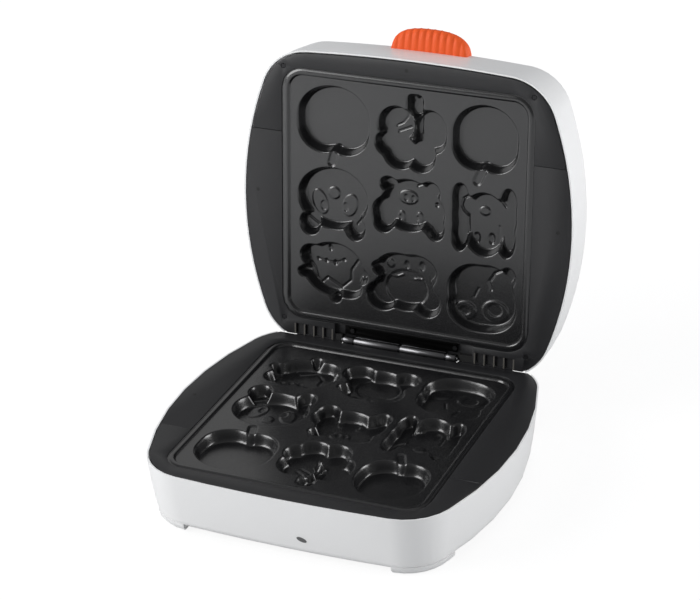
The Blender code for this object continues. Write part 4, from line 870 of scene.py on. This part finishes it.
def line_distance(x, y, start, stop, half_width):
    """The distance from a thick line, below zero inside it."""
    run_x, run_y = stop[0] - start[0], stop[1] - start[1]
    share = ((x - start[0]) * run_x + (y - start[1]) * run_y) / (run_x**2 + run_y**2)
    share = numpy.clip(share, 0, 1)
    off_x = x - start[0] - share * run_x
    off_y = y - start[1] - share * run_y
    return numpy.hypot(off_x, off_y) - half_width


def square_distance(x, y, half, corner):
    """The distance from a square with round corners, below zero inside it."""
    off_x = numpy.maximum(numpy.abs(x) - half + corner, 0)
    off_y = numpy.maximum(numpy.abs(y) - half + corner, 0)
    inner = numpy.minimum(numpy.maximum(numpy.abs(x), numpy.abs(y)) - half + corner, 0)
    return numpy.hypot(off_x, off_y) + inner - corner


def soft_least(first, second, width):
    """The lesser of two distances, blended where they are close."""
    overlap = numpy.maximum(width - numpy.abs(first - second), 0) / width
    return numpy.minimum(first, second) - overlap**2 * width / 4


def soft_step(distance, edge):
    """One inside a shape and zero outside, with a smooth edge."""
    share = numpy.clip(1 / 2 - distance / (2 * edge), 0, 1)
    return share * share * (3 - 2 * share)


def wall_drop(distance):
    """How far a mould's surface has dropped at a distance from its edge, with rounded corners."""
    low, high = -cavity_slope * wall_reach_in, cavity_slope * wall_reach_out
    samples = numpy.linspace(low, high, wall_samples)
    drop = numpy.clip(-samples / cavity_slope, 0, 1) * cavity_depth
    window = numpy.hanning(int(cavity_edge_round * 2 / (samples[1] - samples[0])) + 2)
    padded = numpy.pad(drop, len(window), mode="edge")
    rounded = numpy.convolve(padded, window / window.sum(), mode="same")
    return numpy.interp(distance, samples, rounded[len(window) : -len(window)])


def mould_place(name):
    """A mould's centre and half size, in metres."""
    centre, half = mould_place_shares[name]
    return [plate_half * share for share in centre], [plate_half * share for share in half]


def mould_distance(name, x, y):
    """The distance from a mould's outline."""
    (centre_x, centre_y), (half_x, half_y) = mould_place(name)
    distance = None
    for share_x, share_y, radius_x, radius_y in mould_shares[name]:
        off_x = x - (centre_x + share_x * half_x)
        off_y = y - (centre_y + share_y * half_y)
        oval = oval_distance(off_x, off_y, radius_x * half_x, radius_y * half_y)
        distance = oval if distance is None else soft_least(distance, oval, cavity_blend)
    return distance


def oval_relief(x, y, place, shares):
    """One raised or sunk oval of a mould's floor."""
    (centre_x, centre_y), (half_x, half_y) = place
    share_x, share_y, radius_x, radius_y, tilt, height = shares
    turn = tilt * math.pi / 2
    off_x = x - centre_x - share_x * half_x
    off_y = y - centre_y - share_y * half_y
    along_x = off_x * math.cos(turn) + off_y * math.sin(turn)
    along_y = off_y * math.cos(turn) - off_x * math.sin(turn)
    oval = oval_distance(along_x, along_y, radius_x * half_x, radius_y * half_y)
    return height * relief_height * soft_step(oval, relief_edge)


def line_relief(x, y, place, points, width_share, height):
    """One raised or sunk line of a mould's floor, through its points."""
    (centre_x, centre_y), (half_x, half_y) = place
    ends = [(centre_x + share_x * half_x, centre_y + share_y * half_y) for share_x, share_y in points]
    half_width = relief_line_half_width * width_share
    runs = [line_distance(x, y, start, stop, half_width) for start, stop in zip(ends, ends[1:])]
    return height * relief_height * soft_step(numpy.minimum.reduce(runs), relief_edge)


def mould_relief(name, x, y):
    """The raised and sunk details of a mould's floor."""
    place = mould_place(name)
    relief = numpy.zeros_like(x)
    for shares in oval_shares.get(name, ()):
        relief += oval_relief(x, y, place, shares)
    for points, width_share, height in line_shares.get(name, ()):
        relief += line_relief(x, y, place, points, width_share, height)
    return relief


def edge_and_bead(x, y):
    """How deep the plate's edge, its raised bead and its flat field lie."""
    bead_middle = bead_edge_offset + bead_width / 2
    from_edge = -square_distance(x, y, plate_half, plate_corner_radius)
    across = numpy.clip(numpy.abs(from_edge - bead_middle) / (bead_width / 2), 0, 1)
    bead = bead_height * (1 - across**bead_flatness) ** bead_roundness
    edge = half_gap + plate_edge_drop
    outside = from_edge < bead_middle
    level = numpy.where(outside, edge, half_gap + bead_height)
    return level - numpy.where(outside, (edge - half_gap) / bead_height, 1) * bead


def plate_surface(x, y):
    """How deep the plate's cooking side lies under the parting plane."""
    depth = edge_and_bead(x, y)
    for start_shares, stop_shares, half_share in stem_shares:
        start = [plate_half * share for share in start_shares]
        stop = [plate_half * share for share in stop_shares]
        stem = line_distance(x, y, start, stop, plate_half * half_share)
        depth += stem_depth * soft_step(stem, relief_edge)
    for name in mould_place_shares:
        drop = wall_drop(mould_distance(name, x, y))
        depth += drop - mould_relief(name, x, y) * drop / cavity_depth
    return depth


def plate_grid():
    """A square grid whose outline is drawn in to the plate's round corners."""
    line = numpy.linspace(-plate_half, plate_half, plate_grid_steps + 1)
    x, y = numpy.meshgrid(line, line, indexing="ij")
    off_x = numpy.maximum(numpy.abs(x) - plate_half + plate_corner_radius, 0)
    off_y = numpy.maximum(numpy.abs(y) - plate_half + plate_corner_radius, 0)
    longest = numpy.maximum(off_x, off_y)
    reach = numpy.hypot(off_x, off_y)
    squeeze = numpy.where(reach > 0, longest / numpy.maximum(reach, least_divisor), 1)
    x = numpy.sign(x) * (numpy.abs(x) - off_x + off_x * squeeze)
    y = numpy.sign(y) * (numpy.abs(y) - off_y + off_y * squeeze)
    return x, y


def plate_shape(direction):
    """A cast plate: its cooking side as a fine relief, its flange and the slab under it."""
    x, y = plate_grid()
    count = plate_grid_steps + 1
    z = plate_surface(x, y) * direction
    index = numpy.arange(count * count).reshape(count, count)
    corners = [index[:-1, :-1], index[1:, :-1], index[1:, 1:], index[:-1, 1:]]
    if direction > 0:
        corners.reverse()
    points = [tuple(point) for point in numpy.stack([x, y, z], axis=-1).reshape(-1, 3).tolist()]
    faces = [tuple(face) for face in numpy.stack(corners, axis=-1).reshape(-1, 4).tolist()]
    rim = [*index[0, :-1], *index[:-1, -1], *index[-1, :0:-1], *index[:0:-1, 0]]
    last = [int(corner) for corner in rim]
    rim_points = [points[corner] for corner in last]
    under = half_gap + plate_edge_drop + plate_flange_thickness
    shrink = slab_half / plate_half
    for scale, depth in ((1, under), (shrink, under), (shrink, half_gap + slab_depth)):
        new = list(range(len(points), len(points) + len(last)))
        points += [(px * scale, py * scale, depth * direction) for px, py, _ in rim_points]
        for step in range(len(last)):
            after = (step + 1) % len(last)
            side = (last[step], last[after], new[after], new[step])
            faces.append(side if direction < 0 else side[::-1])
        last = new
    faces.append(tuple(last) if direction < 0 else tuple(reversed(last)))
    return points, faces


def add_plate(name, node, direction, place, body, finish):
    """Adds a finer plate in the place of a packed one."""
    piece = add_piece(name, plate_shape(direction), place, body, finish, plate_sharp_degrees)
    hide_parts(node)


# The lid's housing and its grip


def plan_centres():
    """Centres of the front bow, side bow and front corner arcs, which all insets share."""
    bow = Vector((0, front_bow_radius - plan_front - plan_centre_y))
    side = Vector((plan_half_width - side_bow_radius, 0))
    side_reach = side_bow_radius - plan_corner_radius
    bow_reach = front_bow_radius - plan_corner_radius
    apart = (bow - side).length
    along = (bow - side) / apart
    near = (side_reach**2 - bow_reach**2 + apart**2) / (2 * apart)
    rise = math.sqrt(side_reach**2 - near**2)
    across = Vector((along.y, -along.x))
    found = [side + along * near + across * rise, side + along * near - across * rise]
    return bow, side, max(found, key=lambda point: point.x)


def plan_ring(inset, rear_y, z):
    """The lid's plan outline moved inward by the inset and cut off straight at the rear."""
    bow, side, corner = plan_centres()
    bow_turn = math.atan2(corner.y - bow.y, corner.x - bow.x)
    side_turn = math.atan2(corner.y - side.y, corner.x - side.x)
    corner_radius = plan_corner_radius - inset
    rear_reach = (rear_y - plan_centre_y + corner.y) / corner_radius
    rear_turn = math.asin(min(rear_reach, math.sin(-bow_turn)))
    rear_corner = (corner.x, -corner.y)
    half = arc_points(bow, front_bow_radius - inset, -math.pi / 2, bow_turn, shell_front_steps)
    half += arc_points(corner, corner_radius, bow_turn, side_turn, shell_corner_steps)[1:]
    half += arc_points(side, side_bow_radius - inset, side_turn, -side_turn, shell_side_steps)[1:]
    half += arc_points(rear_corner, corner_radius, -side_turn, rear_turn, shell_corner_steps)[1:]
    left = [(-x, y) for x, y in reversed(half[1:])]
    return [(x, y + plan_centre_y, z) for x, y in half + left]


def inner_shell_rings():
    """Rings of the lid's shell from the middle of its floor, up its inside and round its ledge."""
    wall = housing_wall - lip_stand
    low_corner = lid_edge_round - housing_wall
    ledge = bezel_low + fit_gap
    inner = [
        (wall + lid_draft * lid_straight + low_corner, lid_depth - housing_wall),
        (wall + lid_draft * lid_straight, lid_straight),
        (wall + lid_draft * lid_middle - lid_bulge, lid_middle),
        (wall + lid_draft * ledge, ledge),
    ]
    rings = []
    for inset, z in inner:
        rear_inset = max(inset - wall, 0) * lid_rear_draft / lid_draft + lid_rear_wall
        rings.append(plan_ring(inset, lid_rear_y - rear_inset, z))
    for z in (ledge, half_gap):
        rings.append(plan_ring(-fit_gap, lid_rear_y - lip_stand + fit_gap, z))
    return rings


def outer_shell_rings():
    """Rings of the lid's shell from its lip, up its outside and over its edge round to the crown."""
    bulged = lid_draft * lid_middle - lid_bulge - lip_stand
    rings = [
        plan_ring(-lip_stand, lid_rear_y, half_gap),
        plan_ring(bulged, lid_rear_y - lid_rear_draft * lid_middle, lid_middle),
    ]
    for step in range(shell_round_steps + 1):
        turn = math.pi / 2 * step / shell_round_steps
        turned_in = lid_edge_round * (1 - math.cos(turn))
        inset = lid_draft * lid_straight - lip_stand + turned_in
        rear_y = lid_rear_y - lid_rear_draft * lid_straight - turned_in
        rings.append(plan_ring(inset, rear_y, lid_straight + lid_edge_round * math.sin(turn)))
    crown_inset = lid_edge_round + lid_crown_reach / 2
    crown_rear = lid_rear_y - (lid_edge_round + lid_crown_reach) / 2
    rings.append(plan_ring(crown_inset, crown_rear, lid_depth + lid_crown))
    return rings


def shell_openings():
    """What is cut out of the lid's shell: its rear lip, the notch over the hinge and two lens holes."""
    margin = shell_cutter_margin
    past_y = lid_rear_y + margin
    lip_y = lid_rear_y - lip_stand - fit_gap
    lip_x = max(x for x, y, _ in plan_ring(fit_gap, lip_y, 0) if y > lid_rear_y - margin)
    notch_x = plate_half * recess_half_width_share + shelf_side_wall + fit_gap
    notch_y = lid_rear_y - lid_rear_wall - margin
    notch_top = recess_roof_z + shelf_thickness + fit_gap
    openings = [
        block((-lip_x, lip_y, -margin), (lip_x, past_y, bezel_low + fit_gap)),
        block((-notch_x, notch_y, -margin), (notch_x, past_y, notch_top)),
    ]
    for x in (-lamp_x, lamp_x):
        levels = (lid_depth - 2 * housing_wall, lid_depth + housing_wall)
        openings.append(loft([circle((x, lamp_y), lens_hole_radius, z) for z in levels]))
    return openings


def cut_out(piece, openings):
    """Cuts openings out of a piece in the lid's place."""
    cutters = [add_mesh("shell_cutter", opening, lid_place) for opening in openings]
    for cutter in cutters:
        change = piece.modifiers.new("opening", "BOOLEAN")
        change.operation = "DIFFERENCE"
        change.solver = "EXACT"
        change.object = cutter
    graph = bpy.context.evaluated_depsgraph_get()
    graph.update()
    opened = bpy.data.meshes.new_from_object(piece.evaluated_get(graph))
    piece.modifiers.clear()
    piece.data = opened
    for cutter in cutters:
        bpy.data.objects.remove(cutter)


def add_lid_shell(finish):
    """Adds the lid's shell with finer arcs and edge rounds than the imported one."""
    rings = inner_shell_rings() + outer_shell_rings()
    piece = add_piece("lid_shell_smooth", loft(rings[::-1]), lid_place, "lid", finish)
    cut_out(piece, shell_openings())
    smooth(piece, sharp_degrees)
    weigh_normals(piece)
    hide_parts("lid_shell")


def front_wall_y(x, z):
    """The front face of the lid's wall."""
    bulge = lid_bulge * max(1 - abs(z - lid_middle) / lid_middle, 0)
    past = max(z - lid_straight, 0)
    turned_in = lid_edge_round - math.sqrt(lid_edge_round**2 - past**2)
    inset = -lip_stand + lid_draft * min(z, lid_straight) - bulge + turned_in
    return front_bow_radius - plan_front - math.sqrt((front_bow_radius - inset) ** 2 - x**2)


def handle_section(share):
    """One slice of the grip across the lid's front, from its lower root to its upper one."""
    x = handle_x + handle_half_width * share
    power = handle_plan_power
    reach = handle_reach * max(1 - abs(share) ** power, 0) ** (1 / power)
    phase = (share + 1) / 2 * handle_flutes
    flute = handle_flute_depth * (1 - abs(math.sin(math.pi * phase)))
    middle_z = (handle_low_z + handle_high_z) / 2
    half_thickness = (handle_high_z - handle_low_z) / 2
    points = []
    for step in range(handle_section_steps + 1):
        turn = math.pi * step / handle_section_steps
        out = math.sin(turn) ** handle_front_power
        side = -math.copysign(abs(math.cos(turn)) ** handle_side_power, math.cos(turn))
        z = middle_z + side * half_thickness * (1 - handle_taper_share * out)
        if side < handle_flute_top_share:
            z += flute * out
        y = front_wall_y(x, handle_low_z) - reach * out
        if step in (0, handle_section_steps):
            y = front_wall_y(x, z) + handle_root_sink
        points.append((x, y, z))
    return points


def add_handle(finish):
    """Adds the fluted grip on the lid's front."""
    rows = handle_flutes * handle_rows_per_flute
    sections = [handle_section(-1 + 2 * row / rows) for row in range(rows + 1)]
    piece = add_piece("handle_grip", loft(sections), lid_place, "lid", finish, handle_sharp_degrees)
    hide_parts("lid_handle")


# Small trims


def slot_x(side, index):
    """Where a vent slot lies across the lid's surround."""
    return side * plate_half * (slot_first_share + slot_pitch_share * index)


def add_slot_floors(finish):
    """Closes the bottom of each vent slot and its end at the lid's rear edge."""
    half = plate_half * slot_width_share / 2 - trim_gap
    floors = []
    for side in (-1, 1):
        for index in range(slots_per_side):
            x = slot_x(side, index)
            low = (x - half, slot_front_y, slot_floor_depth)
            floors.append(block(low, (x + half, trim_rear_y, bezel_low)))
            low = (x - half, lid_rear_y - slot_end_width, slot_end_depth)
            floors.append(block(low, (x + half, trim_rear_y, slot_floor_depth)))
    add_piece("lid_slot_floors", merged(floors), lid_place, "lid", finish)


def rib_ring(x, y):
    """The half-round section of a rib on the lid's surround."""
    ring = []
    for step in range(slot_rib_sides + 1):
        turn = math.pi * (step / slot_rib_sides + 1 / 2)
        z = half_gap + slot_rib_height * math.cos(turn)
        ring.append((x + slot_rib_half_width * math.sin(turn), y, z))
    return ring


def add_slot_ribs(finish):
    """Adds the thin ribs on both sides of each vent slot, in a light tone that paints a highlight along
    the slots' edges.
    """
    ribs = []
    for side in (-1, 1):
        for index in range(slots_per_side + 1):
            x = slot_x(side, index - 1 / 2)
            ribs.append(loft([rib_ring(x, y) for y in (slot_front_y, trim_rear_y)]))
    add_piece("lid_slot_ribs_painted_highlight", merged(ribs), lid_place, "lid", finish)


def add_recess_fill(finish):
    """Closes the lid's recess behind the hinge and at both of its ends, in a darker tone that paints
    shade there.
    """
    half = plate_half * recess_half_width_share
    lip_half = half + shelf_side_wall - trim_gap
    lip_low = (-lip_half, lid_rear_y - lid_rear_wall - trim_gap, recess_roof_z + trim_gap)
    blocks = [block(lip_low, (lip_half, trim_rear_y, recess_roof_z + shelf_thickness))]
    for start in recess_end_starts:
        ends = sorted((start, math.copysign(half - trim_gap, start)))
        low = (ends[0], recess_end_front, recess_end_low)
        blocks.append(block(low, (ends[1], trim_rear_y, recess_roof_z - trim_gap)))
    add_piece("lid_recess_fill_painted_shade", merged(blocks), lid_place, "lid", finish)


def add_base_lip(finish):
    """Adds the lip behind the base's surround, on both sides of the hinge."""
    near = hinge_y - base_lip_before_hinge
    lips = []
    for start, stop in base_lip_ends:
        lips.append(block((start, near, base_lip_low), (stop, near + base_lip_reach, base_lip_top)))
    add_piece("base_rear_lip", merged(lips), base_place, "base", finish)


def washer(start, stop):
    """A flat ring round the hinge's axis."""
    corners = (
        (washer_outer_radius, start),
        (washer_outer_radius, stop),
        (washer_inner_radius, stop),
        (washer_inner_radius, start),
    )
    width = len(corners)
    points, faces = [], []
    for step in range(washer_sides):
        turn = math.tau * step / washer_sides
        here, there = step * width, (step + 1) % washer_sides * width
        for corner, (radius, x) in enumerate(corners):
            after = (corner + 1) % width
            points.append((x, hinge_y + radius * math.cos(turn), hinge_z + radius * math.sin(turn)))
            faces.append((here + corner, there + corner, there + after, here + after))
    return points, faces


def add_washers(finish):
    """Adds the dark washers between the hinge's knuckles."""
    washers = []
    for start_share, stop_share in washer_end_shares:
        start = plate_half * start_share + washer_gap
        washers.append(washer(start, plate_half * stop_share - washer_gap))
    add_piece("hinge_washers", merged(washers), base_place, "base", finish)


def add_dots(name, places, direction, place, body, finish):
    """Adds the small round mould marks on a surround."""
    levels = sorted((direction * (half_gap - dot_height), direction * (half_gap + dot_sink)))
    dots = [loft([circle(centre, dot_radius, level) for level in levels]) for centre in places]
    add_piece(name, merged(dots), place, body, finish)


def add_inlay(finish):
    """Adds the plain oval inlay low on the base's front wall."""
    lean = math.radians(inlay_wall_degrees)
    tilt = math.radians(inlay_tilt_degrees)
    along = Vector((1, 0, 0))
    rise = Vector((0, -math.sin(lean), math.cos(lean)))
    out = along.cross(rise)
    radius = front_bow_radius - inlay_wall_inset
    y = front_bow_radius - plan_front - math.sqrt(radius**2 - inlay_x**2)
    centre = Vector((inlay_x, y, inlay_z))
    long_way = (math.cos(tilt) * along + math.sin(tilt) * rise) * inlay_radii[0]
    short_way = (math.cos(tilt) * rise - math.sin(tilt) * along) * inlay_radii[1]
    turns = [math.tau * step / circle_sides for step in range(circle_sides)]
    ring = [centre + long_way * math.cos(turn) + short_way * math.sin(turn) for turn in turns]
    rings = [[point + out * level for point in ring] for level in (-inlay_sink, inlay_height)]
    add_piece("base_front_inlay", loft(rings), base_place, "base", finish)


def main():
    """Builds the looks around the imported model."""
    bpy.context.scene.view_settings.view_transform = "Standard"
    finishes = make_finishes()
    dress_nodes(finishes)
    add_plate("base_plate_cast", "base_plate", -1, base_place, "base", finishes["coating"])
    add_plate("lid_plate_cast", "lid_plate", 1, lid_place, "lid", finishes["coating"])
    add_handle(finishes["orange"])
    add_lid_shell(finishes["white"])
    add_slot_floors(finishes["charcoal"])
    add_slot_ribs(finishes["rib"])
    add_recess_fill(finishes["recess"])
    add_base_lip(finishes["charcoal"])
    add_washers(finishes["black_steel"])
    # the mould marks take the recess's darker painted-shade tone, so they show darker than the surround
    add_dots("lid_marks", lid_dots, 1, lid_place, "lid", finishes["recess"])
    add_dots("base_marks", base_dots, -1, base_place, "base", finishes["recess"])
    add_inlay(finishes["inlay"])
    add_camera()
    add_world()
    add_floor()
    for name, place, size, power in lights:
        add_light(name, place, size, power)


main()
